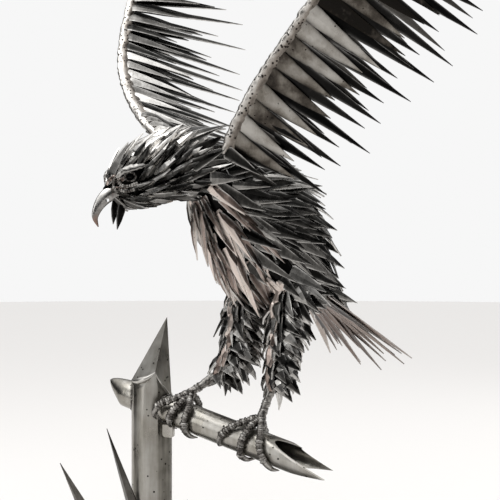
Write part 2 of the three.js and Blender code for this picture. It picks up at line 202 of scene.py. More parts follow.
# %% [markdown]
# ## Floor and lights
# The sculpture stands on a plain pale floor, which reaches past the picture. The sky gives most of
# the light. Three softboxes add the long highlights: one overhead, one at the left and a weak one
# behind, which draws the outline.

# %% Floor and lights
FLOOR_RADIUS = 14
FLOOR_DROP = 0.0006
FLOOR_COLOUR = (0.78, 0.765, 0.75, 1)
LIGHTS_AIM = Vector((0, 0, 0.9))
SOFTBOXES = [
    # name, place, size and power
    ("overhead", (-0.6, -0.6, 3.4), (2.6, 2.2), 36),
    ("left_front", (-3.2, -2.2, 1.6), (1.2, 2.4), 24),
    ("right_back", (3.0, 2.4, 2.2), (1.4, 2.2), 14),
]


def make_floor():
    mesh = shape_mesh("floor", bmesh.ops.create_circle, Matrix.Translation((0, 0, -FLOOR_DROP)),
                      cap_ends=True, radius=FLOOR_RADIUS, segments=96)
    material = bpy.data.materials.new("pale_floor")
    material.use_nodes = True
    tree = material.node_tree
    fill(tree, tree.nodes["Principled BSDF"].inputs, {"Base Color": FLOOR_COLOUR, "Roughness": 0.85})
    floor = new_piece("floor", mesh, material)
    floor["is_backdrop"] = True


def make_softbox(name, place, size, power):
    data = bpy.data.lights.new(name, "AREA")
    data.shape = "RECTANGLE"
    data.size, data.size_y = size
    data.energy = power
    lamp = bpy.data.objects.new(name, data)
    lamp.location = place
    lamp.rotation_euler = (LIGHTS_AIM - lamp.location).to_track_quat("-Z", "Y").to_euler()
    bpy.context.collection.objects.link(lamp)


make_floor()
for row in SOFTBOXES:
    make_softbox(*row)
print("floor and", len(SOFTBOXES), "softboxes")

# %% [markdown]
# ## Shader groups
# Three effects belong to all the steel here, so each is a node group with its own inputs.
# "cloudy_steel" gives slow light and dark patches, fine grinding streaks and a height for bumps.
# "pits" gives small scattered holes. The edge group turns the rim attribute of a plate into bright worn
# edges, and on the covert plates, whose edge colour is near black, into painted shade along the rims.

# %% Shader groups


def add_noise(tree, place, scale, detail, roughness=0.5):
    values = {"Vector": place, "Scale": scale, "Detail": detail, "Roughness": roughness}
    return add(tree, "ShaderNodeTexNoise", values)["Fac"]


def make_cloudy_group():
    inputs = {"Vector": ("Vector",), "Cloud Scale": ("Float", 18.0), "Streak Scale": ("Float", 260.0),
              "Streak Squeeze": ("Vector", (1, 1, 0.08))}
    outputs = {"Cloud": ("Float",), "Streaks": ("Float",), "Height": ("Float",)}
    group, source, out = new_tree("cloudy_steel", "ShaderNodeTree", inputs, outputs)
    place = source["Vector"]
    cloud = add_noise(group, place, source["Cloud Scale"], 4, 0.55)
    squeezed = add(group, "ShaderNodeVectorMath", {0: place, 1: source["Streak Squeeze"]},
                   operation="MULTIPLY")[0]
    streaks = add_noise(group, squeezed, source["Streak Scale"], 3, 0.6)
    height = add_math(group, "ADD", cloud, add_math(group, "MULTIPLY", streaks, 0.12))
    fill(group, out, {"Cloud": cloud, "Streaks": streaks, "Height": height})
    return group


def make_pits_group():
    inputs = {"Vector": ("Vector",), "Scale": ("Float", 120.0), "Size": ("Float", 0.12),
              "Amount": ("Float", 0.45)}
    group, source, out = new_tree("pits", "ShaderNodeTree", inputs, {"Pits": ("Float",)})
    cells = add(group, "ShaderNodeTexVoronoi", {"Vector": source["Vector"], "Scale": source["Scale"]})
    near = add_math(group, "LESS_THAN", cells["Distance"], source["Size"])
    chosen = add_math(group, "LESS_THAN", cells["Color"], source["Amount"])
    patchy = add_math(group, "GREATER_THAN", add_noise(group, source["Vector"], 14, 2), 0.47)
    both = add_math(group, "MULTIPLY", near, chosen)
    fill(group, out, {"Pits": add_math(group, "MULTIPLY", both, patchy)})
    return group


def make_edge_group():
    inputs = {"Vector": ("Vector",), "Sharpness": ("Float", 7.0), "Breakup": ("Float", 60.0)}
    group, source, out = new_tree("edge_wear_and_shade", "ShaderNodeTree", inputs, {"Edge": ("Float",)})
    rim = add(group, "ShaderNodeAttribute", attribute_name="rim")["Fac"]
    narrow = add_math(group, "POWER", rim, source["Sharpness"])
    worn = add_math(group, "MULTIPLY", add_noise(group, source["Vector"], source["Breakup"], 2), 1.7)
    fill(group, out, {"Edge": add_math(group, "MULTIPLY", narrow, worn)})
    return group


CLOUDY = make_cloudy_group()
PITS = make_pits_group()
EDGES = make_edge_group()
print("shader groups:", [g.name for g in (CLOUDY, PITS, EDGES)])

# %% [markdown]
# ## Steel finishes
# All finishes are bare or heat-tinted steel, so one recipe serves them. A "tone" attribute, one random
# number a plate on most pieces, picks a place on the finish's own colour ramp. That is why bright and
# dark plates lie side by side, as pieces cut from different scrap do. Clouds vary each plate, and pits
# darken it.
# Some ramps and tones paint light and shade: the near-black ramp and the darker covert ramp are painted
# shade, the warm chest ramp is a painted reflection of the ground, and where a tone follows which way a
# face looks, as on the beak and the wings' leading edges, it is a painted highlight.

# %% Steel finishes


PIT_COLOUR = (0.018, 0.014, 0.012, 1)
COMMON = {
    # what a finish has unless its own line says otherwise
    "cloud": 18, "cloud_spread": 0.9, "streak": 260, "streak_spread": 0.25, "squeeze": (1, 1, 0.08),
    "pit_scale": 120, "pit_size": 0.12, "pit_amount": 0.4, "edge": 0.8, "sharpness": 7,
    "edge_colour": (0.72, 0.70, 0.67), "bump": 0.35, "bump_depth": 0.002,
}


def make_steel(name, stops, rough, settings):
    use = {**COMMON, **settings}
    material = bpy.data.materials.new(name)
    material.use_nodes = True
    tree = material.node_tree
    place = add(tree, "ShaderNodeTexCoord")["Object"]
    tone = add(tree, "ShaderNodeAttribute", attribute_name="tone")["Fac"]

    def group(which, values):
        return add(tree, "ShaderNodeGroup", {"Vector": place, **values}, node_tree=which)

    def maths(operation, a, b):
        return add_math(tree, operation, a, b)

    cloudy = group(CLOUDY, {"Cloud Scale": use["cloud"], "Streak Scale": use["streak"],
                            "Streak Squeeze": use["squeeze"]})
    pits = group(PITS, {"Scale": use["pit_scale"], "Size": use["pit_size"], "Amount": use["pit_amount"]})
    edges = group(EDGES, {"Sharpness": use["sharpness"]})

    clouds = maths("MULTIPLY", maths("SUBTRACT", cloudy["Cloud"], 0.5), use["cloud_spread"])
    lines = maths("MULTIPLY", maths("SUBTRACT", cloudy["Streaks"], 0.5), use["streak_spread"])
    colour = add_ramp(tree, maths("ADD", maths("ADD", tone, clouds), lines), stops)
    edge = maths("MULTIPLY", edges["Edge"], use["edge"])
    pit = maths("MULTIPLY", pits["Pits"], 0.9)
    for share, over in ((edge, (*use["edge_colour"], 1)), (pit, PIT_COLOUR)):
        colour = add(tree, "ShaderNodeMix", {0: share, 6: colour, 7: over}, data_type="RGBA")[2]

    spread = {"Value": cloudy["Cloud"], "From Min": 0.3, "From Max": 0.7, "To Min": rough[0],
              "To Max": rough[1]}
    smooth = add(tree, "ShaderNodeMapRange", spread)["Result"]
    roughness = maths("ADD", smooth, maths("MULTIPLY", pit, 0.4))
    height = maths("SUBTRACT", cloudy["Height"], maths("MULTIPLY", pit, 0.5))
    bump = add(tree, "ShaderNodeBump", {"Height": height, "Strength": use["bump"],
                                        "Distance": use["bump_depth"]})["Normal"]
    fill(tree, tree.nodes["Principled BSDF"].inputs,
         {"Metallic": 1.0, "Base Color": colour, "Roughness": roughness, "Normal": bump})
    return material


FINISHES = {key: make_steel(*row) for key, row in {
    # name of the material, colour stops from tone 0 to 1, roughness from and to, its own settings
    "plate": ("plate_steel",
              [(0.0, (0.006, 0.006, 0.0055)), (0.3, (0.03, 0.029, 0.027)), (0.55, (0.11, 0.106, 0.10)),
               (0.8, (0.31, 0.30, 0.285)), (1.0, (0.68, 0.665, 0.64))],
              (0.16, 0.36), {"cloud": 26, "cloud_spread": 0.7}),
    # painted reflection: this warm pink stands for the warm ground that the down-facing breast plates
    # reflect
    "chest": ("warm_plate_steel",
              [(0.0, (0.012, 0.010, 0.009)), (0.3, (0.085, 0.064, 0.055)), (0.6, (0.31, 0.245, 0.215)),
               (1.0, (0.62, 0.54, 0.49))],
              (0.24, 0.44), {"cloud": 24, "pit_amount": 0.5}),
    # painted shade: a near-black copy of the steel for the core in the gaps, shaded feather rows and the
    # eye
    "dark": ("dark_steel",
             [(0.0, (0.003, 0.003, 0.003)), (0.5, (0.012, 0.0115, 0.011)), (1.0, (0.065, 0.061, 0.056))],
             (0.25, 0.5), {"edge": 0.3, "cloud": 20, "pit_amount": 0.2}),
    # and its near-black edge colour paints shade along their rims
    # painted shade: a darker, warmer copy of the plate steel for the near wing's down-facing coverts,
    "covert": ("covert_painted_shade_steel",
               [(0.0, (0.010, 0.009, 0.008)), (0.25, (0.06, 0.052, 0.044)), (0.5, (0.165, 0.15, 0.13)),
                (1.0, (0.38, 0.365, 0.34))],
               (0.18, 0.38), {"cloud": 15, "cloud_spread": 2.0, "edge": 0.9,
                              "edge_colour": (0.012, 0.01, 0.008), "sharpness": 3.5,
                              "pit_scale": 90, "pit_size": 0.15}),
    "tail": ("tail_steel",
             [(0.0, (0.02, 0.014, 0.012)), (0.4, (0.15, 0.107, 0.088)), (0.75, (0.31, 0.245, 0.21)),
              (1.0, (0.46, 0.42, 0.385))],
             (0.3, 0.5), {"cloud": 22, "edge": 0.5}),
    "weld": ("weld_steel",
             [(0.0, (0.025, 0.022, 0.02)), (0.45, (0.13, 0.12, 0.11)), (1.0, (0.48, 0.465, 0.44))],
             (0.2, 0.42), {"cloud": 90, "cloud_spread": 1.4, "edge": 0}),
    "band": ("hammered_steel",
             [(0.0, (0.06, 0.05, 0.042)), (0.45, (0.24, 0.215, 0.19)), (1.0, (0.58, 0.56, 0.53))],
             (0.24, 0.42), {"cloud": 34, "cloud_spread": 1.5, "edge": 0, "pit_scale": 130,
                            "pit_size": 0.3, "pit_amount": 0.8, "bump": 0.6}),
    "pipe": ("pipe_steel",
             [(0.0, (0.08, 0.075, 0.062)), (0.45, (0.27, 0.255, 0.225)), (1.0, (0.50, 0.485, 0.455))],
             (0.2, 0.4), {"cloud": 13, "cloud_spread": 1.1, "streak": 60, "squeeze": (1, 1, 0.12),
                          "streak_spread": 0.8, "edge": 0, "pit_scale": 75, "pit_size": 0.17,
                          "pit_amount": 0.75, "bump": 0.45, "bump_depth": 0.004}),
    "blade": ("blade_steel",
              [(0.0, (0.02, 0.018, 0.016)), (0.5, (0.12, 0.112, 0.10)), (1.0, (0.40, 0.385, 0.36))],
              (0.22, 0.42), {"cloud": 30, "edge": 0, "pit_scale": 110}),
    "beak": ("beak_steel",
             [(0.0, (0.20, 0.115, 0.085)), (0.4, (0.20, 0.19, 0.18)), (1.0, (0.78, 0.76, 0.73))],
             (0.16, 0.34), {"cloud": 40, "edge": 0}),
    "base": ("base_steel",
             [(0.0, (0.03, 0.029, 0.027)), (0.5, (0.11, 0.106, 0.10)), (1.0, (0.24, 0.235, 0.23))],
             (0.35, 0.6), {"cloud": 7, "edge": 0, "pit_scale": 40, "bump": 0.2}),
}.items()}
print("finishes:", ", ".join(m.name for m in FINISHES.values()))

# %% [markdown]
# ## Meshes from rings
# Bodies, pipes, toes and the beak are all skins over rows of rings, so one function makes them all.
# A spline runs through a few given rows, and a ring is laid at each of many places along it.

# %% Splines, rings and lofts
NEAR = Vector((0.5, -0.866, 0)).normalized()
REAR = Vector((0.866, 0.5, 0)).normalized()


def spline(rows, places):
    """A smooth curve through the rows at fractional row numbers."""
    rows = np.asarray(rows, float)
    padded = np.vstack([2 * rows[0] - rows[1], rows, 2 * rows[-1] - rows[-2]])
    places = np.clip(np.asarray(places, float), 0, len(rows) - 1)
    first = np.minimum(places.astype(int), len(rows) - 2)
    t = (places - first)[..., None]
    a, b, c, d = (padded[first + k] for k in range(4))
    bend, twist = 2 * a - 5 * b + 4 * c - d, 3 * b - a - 3 * c + d
    return 0.5 * (2 * b + (c - a) * t + bend * t**2 + twist * t**3)


def even_path(rows, count):
    """Rows spaced evenly by length along the spline. The first three columns are the place."""
    fine = spline(rows, np.linspace(0, len(rows) - 1, 40 * len(rows)))
    gone = np.r_[0, np.cumsum(np.linalg.norm(np.diff(fine[:, :3], axis=0), axis=1))]
    wanted = np.linspace(0, gone[-1], count)
    return np.stack([np.interp(wanted, gone, column) for column in fine.T], axis=1)


def unit(vectors):
    return vectors / np.maximum(np.linalg.norm(vectors, axis=-1, keepdims=True), 1e-12)


def frames_along(points, hint):
    """Directions ahead, sideways and outwards at each point of a path."""
    ahead = unit(np.gradient(points, axis=0))
    side = unit(np.cross(ahead, np.broadcast_to(hint, points.shape)))
    return ahead, side, unit(np.cross(side, ahead))


def shade(mesh, angle=40):
    """Turn all faces outwards and smooth the edges that bend less than the angle."""
    def work(bm):
        bmesh.ops.recalc_face_normals(bm, faces=bm.faces)
        for face in bm.faces:
            face.smooth = True
        for edge in bm.edges:
            edge.smooth = len(edge.link_faces) == 2 and edge.calc_face_angle(0) < math.radians(angle)

    remesh(mesh, work)


def bevel_sharp(bm, angle, width, segments):
    """Round the edges that bend more than the angle by a width in mm."""
    least = math.radians(angle)
    sharp = [e for e in bm.edges if len(e.link_faces) == 2 and e.calc_face_angle(0) > least]
    bmesh.ops.bevel(bm, geom=sharp, offset=width * MM, segments=segments, affect="EDGES",
                    clamp_overlap=True)


def set_number(mesh, name, value):
    """Write one number for each vertex, which the finishes read, and which replaces an earlier one."""
    layer = mesh.attributes.get(name) or mesh.attributes.new(name, "FLOAT", "POINT")
    layer.data.foreach_set("value", np.broadcast_to(value, len(mesh.vertices)).astype(np.float32))


def set_vector(mesh, name, vectors):
    layer = mesh.attributes.new(name, "FLOAT_VECTOR", "POINT")
    layer.data.foreach_set("vector", np.asarray(vectors).reshape(-1).astype(np.float32))


def grid_faces(rows, sides, closed=True):
    """The four-sided faces between neighbouring rows of points."""
    steps = [(j, (j + 1) % sides) for j in range(sides if closed else sides - 1)]
    return [(i + j, i + k, i + sides + k, i + sides + j)
            for i in range(0, (rows - 1) * sides, sides) for j, k in steps]


def loft(name, rings, finish, tone=0.6, angle=40):
    """A closed skin over rings of points, in metres, with a fan at each end."""
    rings = np.asarray(rings, float)
    rows, sides, _ = rings.shape
    points = np.vstack([rings.reshape(-1, 3), rings[0].mean(0), rings[-1].mean(0)])
    first, last = rows * sides, (rows - 1) * sides
    faces = grid_faces(rows, sides)
    for j in range(sides):
        k = (j + 1) % sides
        faces += [(first, k, j), (first + 1, last + j, last + k)]
    mesh = bpy.data.meshes.new(name)
    mesh.from_pydata(points.tolist(), [], faces)
    shade(mesh, angle)
    set_number(mesh, "tone", tone)
    return new_piece(name, mesh, FINISHES[finish])


def tube_rings(rows, hint, sides):
    """Rings round a path whose rows are [x, y, z, width, thickness]."""
    rows = np.asarray(rows, float)
    _, side, out = frames_along(rows[:, :3], np.asarray(hint, float))
    turn = np.linspace(0, 2 * np.pi, sides, endpoint=False)
    across = side[:, None] * np.sin(turn)[None, :, None] * rows[:, 3, None, None] / 2
    upward = out[:, None] * np.cos(turn)[None, :, None] * rows[:, 4, None, None] / 2
    return rows[:, None, :3] + across + upward


def finish_piece(piece, slot, *nodes):
    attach(piece, "root")
    if nodes:
        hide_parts(*nodes)
    print(f"{piece.name}: {len(piece.data.polygons)} faces")
    return piece


print("way of the bird's near side and of its tail:", *(way.to_tuple(2) for way in (NEAR, REAR)))

# %% [markdown]
# ## Plates by Geometry Nodes
# The bird wears hundreds of plates of a few shapes, so the plates are laid by node trees.
# The "cladding" tree scatters roots over a guide surface, keeping them a set distance apart.
# The "row" tree stands one plate on each vertex of a guide instead, for feathers that keep an order.
# In both, a plate's length follows the "flow" attribute. Its face follows the guide's own normal, or
# the "away" attribute in a row. Small random turns and sizes come from a fixed seed, and each plate
# gets its own tone.

# %% Geometry Nodes trees


def named(tree, name, kind="FLOAT_VECTOR"):
    """The value of a named attribute at each point."""
    return add(tree, "GeometryNodeInputNamedAttribute", {"Name": name}, data_type=kind)["Attribute"]


def random_number(tree, low, high, seed, salt):
    """A random number for each point. The salt keeps the draws of one seed apart."""
    values = {2: low, 3: high, "Seed": add_math(tree, "ADD", seed, salt)}
    return add(tree, "FunctionNodeRandomValue", values, data_type="FLOAT")[1]


def random_vector(tree, low, high, seed, salt):
    values = {0: low, 1: high, "Seed": add_math(tree, "ADD", seed, salt)}
    return add(tree, "FunctionNodeRandomValue", values, data_type="FLOAT_VECTOR")[0]


def add_vectors(tree, operation, a, b=None, scale=None):
    return add(tree, "ShaderNodeVectorMath", {0: a, 1: b, 3: scale}, operation=operation)[0]


def same_in_all(tree, value):
    return add(tree, "ShaderNodeCombineXYZ", {"X": value, "Y": value, "Z": value})[0]


def stand(tree, source, out, shape, roots, facing, tilt, scale, tone):
    """Stand a shape on each root, turned, scaled and toned, as real geometry with its finish."""
    tilted = add(tree, "FunctionNodeEulerToRotation", {0: tilt})[0]
    turned = add(tree, "FunctionNodeRotateRotation", {"Rotation": facing, "Rotate By": tilted},
                 rotation_space="LOCAL")[0]
    shape = add(tree, "GeometryNodeObjectInfo", {"Object": source[shape]})["Geometry"]
    stood = add(tree, "GeometryNodeInstanceOnPoints",
                {"Points": roots, "Instance": shape, "Rotation": turned, "Scale": scale})[0]
    values = {"Geometry": stood, "Name": "tone", "Value": tone}
    toned = add(tree, "GeometryNodeStoreNamedAttribute", values, data_type="FLOAT", domain="INSTANCE")[0]
    solid = add(tree, "GeometryNodeRealizeInstances", {"Geometry": toned})[0]
    painted = add(tree, "GeometryNodeSetMaterial", {"Geometry": solid, "Material": source["Material"]})
    fill(tree, out, {"Geometry": painted[0]})


def make_plate_tree(name, scattered):
    tree, source, out = new_tree(name, "GeometryNodeTree", {
        "Guide": ("Geometry",), "Plate": ("Object",), "Size": ("Vector", (0.02, 0.06, 0.01)),
        "Spacing": ("Float", 0.02), "Spread": ("Float", 0.25), "Sink": ("Float", 0.002),
        "Lift": ("Float", 0.15), "Jitter": ("Float", 0.15), "Tone Low": ("Float", 0.0),
        "Tone High": ("Float", 1.0), "Seed": ("Int", 1), "Material": ("Material",),
    }, {"Geometry": ("Geometry",)})
    seed = source["Seed"]
    if scattered:
        values = {"Mesh": source["Guide"], "Distance Min": source["Spacing"], "Density Max": 60000,
                  "Seed": seed}
        points = add(tree, "GeometryNodeDistributePointsOnFaces", values, distribute_method="POISSON")
        roots, away, size = points["Points"], points["Normal"], source["Size"]
    else:
        roots = add(tree, "GeometryNodeMeshToPoints", {"Mesh": source["Guide"]})["Points"]
        away = named(tree, "away")
        size = add_vectors(tree, "MULTIPLY", source["Size"], named(tree, "size"))
    down = add_vectors(tree, "SCALE", away, scale=add_math(tree, "MULTIPLY", source["Sink"], -1))
    roots = add(tree, "GeometryNodeSetPosition", {"Geometry": roots, "Offset": down})[0]

    ahead = add(tree, "FunctionNodeAlignRotationToVector", {"Vector": named(tree, "flow")}, axis="Y")[0]
    facing = add(tree, "FunctionNodeAlignRotationToVector", {"Rotation": ahead, "Vector": away},
                 axis="Z", pivot_axis="Y")[0]
    wobble = random_vector(tree, (-1, -1, -1), (1, 1, 1), seed, 11)
    rise = add(tree, "ShaderNodeCombineXYZ", {"X": source["Lift"]})[0]
    tilt = add_vectors(tree, "ADD", add_vectors(tree, "SCALE", wobble, scale=source["Jitter"]), rise)
    lowest = same_in_all(tree, add_math(tree, "SUBTRACT", 1, source["Spread"]))
    highest = same_in_all(tree, add_math(tree, "ADD", 1, source["Spread"]))
    scale = add_vectors(tree, "MULTIPLY", size, random_vector(tree, lowest, highest, seed, 23))
    tone = random_number(tree, source["Tone Low"], source["Tone High"], seed, 37)
    stand(tree, source, out, "Plate", roots, facing, tilt, scale, tone)
    return tree


CLADDING = make_plate_tree("cladding", True)
ROW = make_plate_tree("feather_row", False)


def grow(name, guide, tree, values):
    """Run a tree on a guide mesh and return the result as a plain mesh object."""
    holder = bpy.data.objects.new(name + "_guide", guide)
    bpy.context.collection.objects.link(holder)
    modifier = holder.modifiers.new("tree", "NODES")
    modifier.node_group = tree
    for item in tree.interface.items_tree:
        if item.item_type == "SOCKET" and item.in_out == "INPUT" and item.name in values:
            modifier[item.identifier] = values[item.name]
    depsgraph = bpy.context.evaluated_depsgraph_get()
    mesh = bpy.data.meshes.new_from_object(
        holder.evaluated_get(depsgraph), preserve_all_data_layers=True, depsgraph=depsgraph
    )
    mesh.name = name
    bpy.data.objects.remove(holder)
    bpy.data.meshes.remove(guide)
    return new_piece(name, mesh, None)


print("trees:", CLADDING.name, ROW.name)

# %% [markdown]
# ## Plate shapes
# A plate is a strip of flat steel cut to a point. Its unit shape runs along +Y from root to tip and
# is one wide and one high, so a tree can scale it to any real size. Each row gives the place along
# it, the left and right edge and how far it is curled up. The "rim" attribute marks its edges.

# %% Plate shapes
SHAPES = {
    # rows are (along, left, right, rise), then the height of the ridge and the thickness
    "sliver": ([(0, .34, .30, -.1), (.16, .82, .74, .1), (.42, 1, .96, .25), (.72, .62, .66, .2),
                (1, .03, .03, 0)], 0.42, 0.30),
    "shard": ([(0, .85, .7, 0), (.05, 1, 1, .05), (.38, .76, .73, .16), (.72, .38, .36, .12),
               (1, .02, .03, 0)], 0.12, 0.22),
    "cut_shard": ([(0, .55, 1, 0), (.12, 1, .98, .1), (.45, .78, .6, .2), (.8, .3, .2, .12),
                   (1, .02, .02, 0)], 0.16, 0.22),
    "thorn": ([(0, .8, .8, -.5), (.14, 1, 1, .0), (.4, .8, .74, .3), (.74, .40, .36, .26),
               (1, .03, .03, -.15)], 0.30, 0.25),
    "lance": ([(0, .5, .5, 0), (.08, .86, .9, .06), (.3, 1, 1, .12), (.62, .68, .62, .1),
               (.86, .30, .28, .04), (1, .03, .03, 0)], 0.20, 0.24),
    "broad": ([(0, 1, 1, -.3), (.1, .93, .98, 0), (.32, .70, .80, .16), (.6, .46, .56, .18),
               (.84, .20, .26, .1), (1, .03, .03, 0)], 0.22, 0.16),
    "spike": ([(0, .9, .9, 0), (.06, 1, 1, .04), (.4, .80, .82, .1), (.75, .38, .36, .08),
               (1, .03, .03, 0)], 0.22, 0.22),
    "hoop": ([(-.1, .8, .8, -.7), (-.07, .9, .9, -.05), (0, 1, 1, .55), (.16, 1, 1, .66),
              (.34, .85, .85, .25), (.6, .5, .5, -.05), (1, .03, .03, 0)], 0.10, 0.14),
}


def make_plate(name):
    rows, ridge, thick = SHAPES[name]
    points, rims = [], []
    for along, left, right, rise in rows:
        crown = rise + ridge * (left + right) / 2
        low = rise - thick
        section = [(-left / 2, rise, 1), (0, crown, 0), (right / 2, rise, 1),
                   (right / 2, low, 1), (0, crown - thick, 0), (-left / 2, low, 1)]
        points += [(x, along, z) for x, z, _ in section]
        rims += [rim for _, _, rim in section]
    last = (len(rows) - 1) * 6
    faces = grid_faces(len(rows), 6) + [(5, 4, 1, 0), (4, 3, 2, 1)]
    faces += [(last, last + 1, last + 4, last + 5), (last + 1, last + 2, last + 3, last + 4)]
    mesh = bpy.data.meshes.new("plate_" + name)
    mesh.from_pydata(points, [], faces)
    remesh(mesh, lambda bm: bmesh.ops.recalc_face_normals(bm, faces=bm.faces))
    set_number(mesh, "rim", np.array(rims))
    return new_piece("plate_" + name, mesh, None)


plates = {name: make_plate(name) for name in SHAPES}
print("plate shapes:", ", ".join(f"{n} {len(p.data.polygons)} faces" for n, p in plates.items()))

# %% [markdown]
# ## Parts that keep their CAD shape
# The base plate, the lug and the blades are flat plate with sawn edges. Their CAD shape is right, but
# real edges are never razor sharp, and it is the small bevel that catches the light. So a copy of
# each node is merged, cleaned of extra edges and given a bevel.

# %% Base, lug and blades
# node: (bevel in mm, finish, tone)
SOFTENED = {"base_plate": (2.5, "base", 0.55), "branch_lug": (1.2, "pipe", 0.75),
            **{f"blade_{i}": (0.7, "blade", 0.35 + 0.08 * i) for i in range(1, 6)}}


def soften(node, width, finish, tone):
    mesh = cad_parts[node].data.copy()

    def work(bm):
        bmesh.ops.remove_doubles(bm, verts=bm.verts, dist=1e-5)
        bmesh.ops.dissolve_limit(bm, angle_limit=math.radians(2), verts=bm.verts, edges=bm.edges)
        bevel_sharp(bm, 25, width, 2)
        bmesh.ops.triangulate(bm, faces=bm.faces)

    remesh(mesh, work)
    shade(mesh, 25)
    set_number(mesh, "tone", tone)
    return finish_piece(new_piece("soft_" + node, mesh, FINISHES[finish]), finish + "_steel", node)


for node, row in SOFTENED.items():
    soften(node, *row)

# %% [markdown]
# ## Post
# The post is pipe. Its top was slit into petals that were folded in to one off-centre point, welded
# and ground. A solid cylinder cut by one plane for each petal has exactly that shape. A second plane
# for each makes the bright collar facet where it bends, and the corners are rounded a little. The
# tone is brighter on the ground petals and darker on the side away from the light.

# %% Post
POST_AXIS = Vector((-121, 0, 0)) * MM
POST_RADIUS = 44.45 * MM
POST_FOOT = 12.4 * MM
POST_TIP = Vector((-88, 8, 613)) * MM
SHOULDERS = [Vector(p) * MM for p in
             [(-110, -43, 497), (-163, -12, 478), (-141, 40, 484), (-90, 33, 470), (-77, -8, 440)]]
COLLARS = [6.5, 4, 2.5, 2.5, 3.5]
PETALS_FROM = 0.455
POST_TONE, PETAL_TONE, SHADOW_TONE = 0.40, 0.38, 0.36


def plane_cut(bm, point, normal):
    geometry = bm.verts[:] + bm.edges[:] + bm.faces[:]
    cut = bmesh.ops.bisect_plane(bm, geom=geometry, plane_co=point, plane_no=normal, clear_outer=True,
                                 dist=1e-6)
    rim = [e for e in cut["geom_cut"] if isinstance(e, bmesh.types.BMEdge)]
    if rim:
        bmesh.ops.holes_fill(bm, edges=rim, sides=0)


def wavy(mesh, size, depth, seed=0.0):
    """Move each vertex a little along its normal, as hand work leaves a surface."""
    shift = Vector((seed, seed * 0.7, seed * 1.3))
    for vertex in mesh.vertices:
        vertex.co += vertex.normal * depth * noise.noise(vertex.co / size + shift)


def cut_petals(bm):
    """One plane for each petal, through the tip and two shoulders, and one facet where it bends."""
    for i, corner in enumerate(SHOULDERS):
        other = SHOULDERS[(i + 1) % len(SHOULDERS)]
        middle = (corner + other) / 2
        wall = Vector((middle.x - POST_AXIS.x, middle.y, 0)).normalized()
        normal = (other - POST_TIP).cross(corner - POST_TIP).normalized()
        if normal.dot(wall) < 0:
            normal.negate()
        plane_cut(bm, POST_TIP, normal)
        facet = (normal + wall).normalized()
        skin = POST_AXIS + wall * POST_RADIUS + Vector((0, 0, middle.z))
        plane_cut(bm, skin - facet * COLLARS[i] * MM, facet)
    bevel_sharp(bm, 12, 1.6, 3)


def make_post():
    height = POST_TIP.z + 0.01 - POST_FOOT
    place = Matrix.Translation(POST_AXIS + Vector((0, 0, POST_FOOT + height / 2)))
    mesh = shape_mesh("post_pipe", bmesh.ops.create_cone, place, cut_petals, cap_ends=True, segments=72,
                      radius1=POST_RADIUS, radius2=POST_RADIUS, depth=height)
    shade(mesh, 30)
    places = np.array([v.co for v in mesh.vertices])
    shadow = np.clip((places[:, 0] - POST_AXIS.x) / POST_RADIUS, 0, 1)
    petals = np.clip((places[:, 2] - PETALS_FROM) / 0.03, 0, 1)
    set_number(mesh, "tone", POST_TONE + petals * PETAL_TONE - shadow * SHADOW_TONE)
    return finish_piece(new_piece("post_pipe", mesh, FINISHES["pipe"]), "pipe_steel", "post")


make_post()

# %% [markdown]
# ## Branch
# The branch is thinner pipe through the post. The hidden end was drawn up to a blunt point. The free
# end was cut on three slants, so that its two walls end as open prongs and the pipe shows hollow.
# It starts as a solid loft, three planes cut the slants, and one Boolean takes the bore out. So the
# cut faces run true right through the wall.

# %% Branch
BRANCH_RADIUS = 30.15 * MM
BRANCH_WALL = 3.9 * MM
BRANCH_PLAN = math.radians(-30)
BRANCH_SLOPE = math.radians(14.2)
BRANCH_MIDDLE = Vector((-121, 0, 424)) * MM
PIPE_RINGS = (-60, 60, 180, 300, 455)
BORE_RINGS = (-55, 200, 480)
BRANCH_BACK = 70 * MM
STUB_TIP = Vector((-219, 56, 468)) * MM
# each slant: where it leaves the skin in mm, at which turn, and its angle to the pipe
MOUTH = [(298, 25, 10.3), (342, -40, 8.4), (340, 190, 12.8)]

branch_way = Vector((math.cos(BRANCH_SLOPE) * math.cos(BRANCH_PLAN),
                     math.cos(BRANCH_SLOPE) * math.sin(BRANCH_PLAN), -math.sin(BRANCH_SLOPE)))
branch_side = Vector((0, 0, 1)).cross(branch_way).normalized()
branch_up = branch_way.cross(branch_side).normalized()


def off_branch(turn):
    angle = math.radians(turn)
    return branch_up * math.cos(angle) - branch_side * math.sin(angle)


def around_branch(distance, turn, radius):
    return BRANCH_MIDDLE + branch_way * distance + off_branch(turn) * radius


def pipe_ring(distance, radius, sides=72):
    return [around_branch(distance, 360 * j / sides, radius) for j in range(sides)]


def boolean(piece, other, operation):
    modifier = piece.modifiers.new("cut", "BOOLEAN")
    modifier.operation = operation
    modifier.solver = "EXACT"
    modifier.object = other
    depsgraph = bpy.context.evaluated_depsgraph_get()
    mesh = bpy.data.meshes.new_from_object(piece.evaluated_get(depsgraph))
    piece.modifiers.clear()
    piece.data = mesh
    bpy.data.objects.remove(other)
    return piece


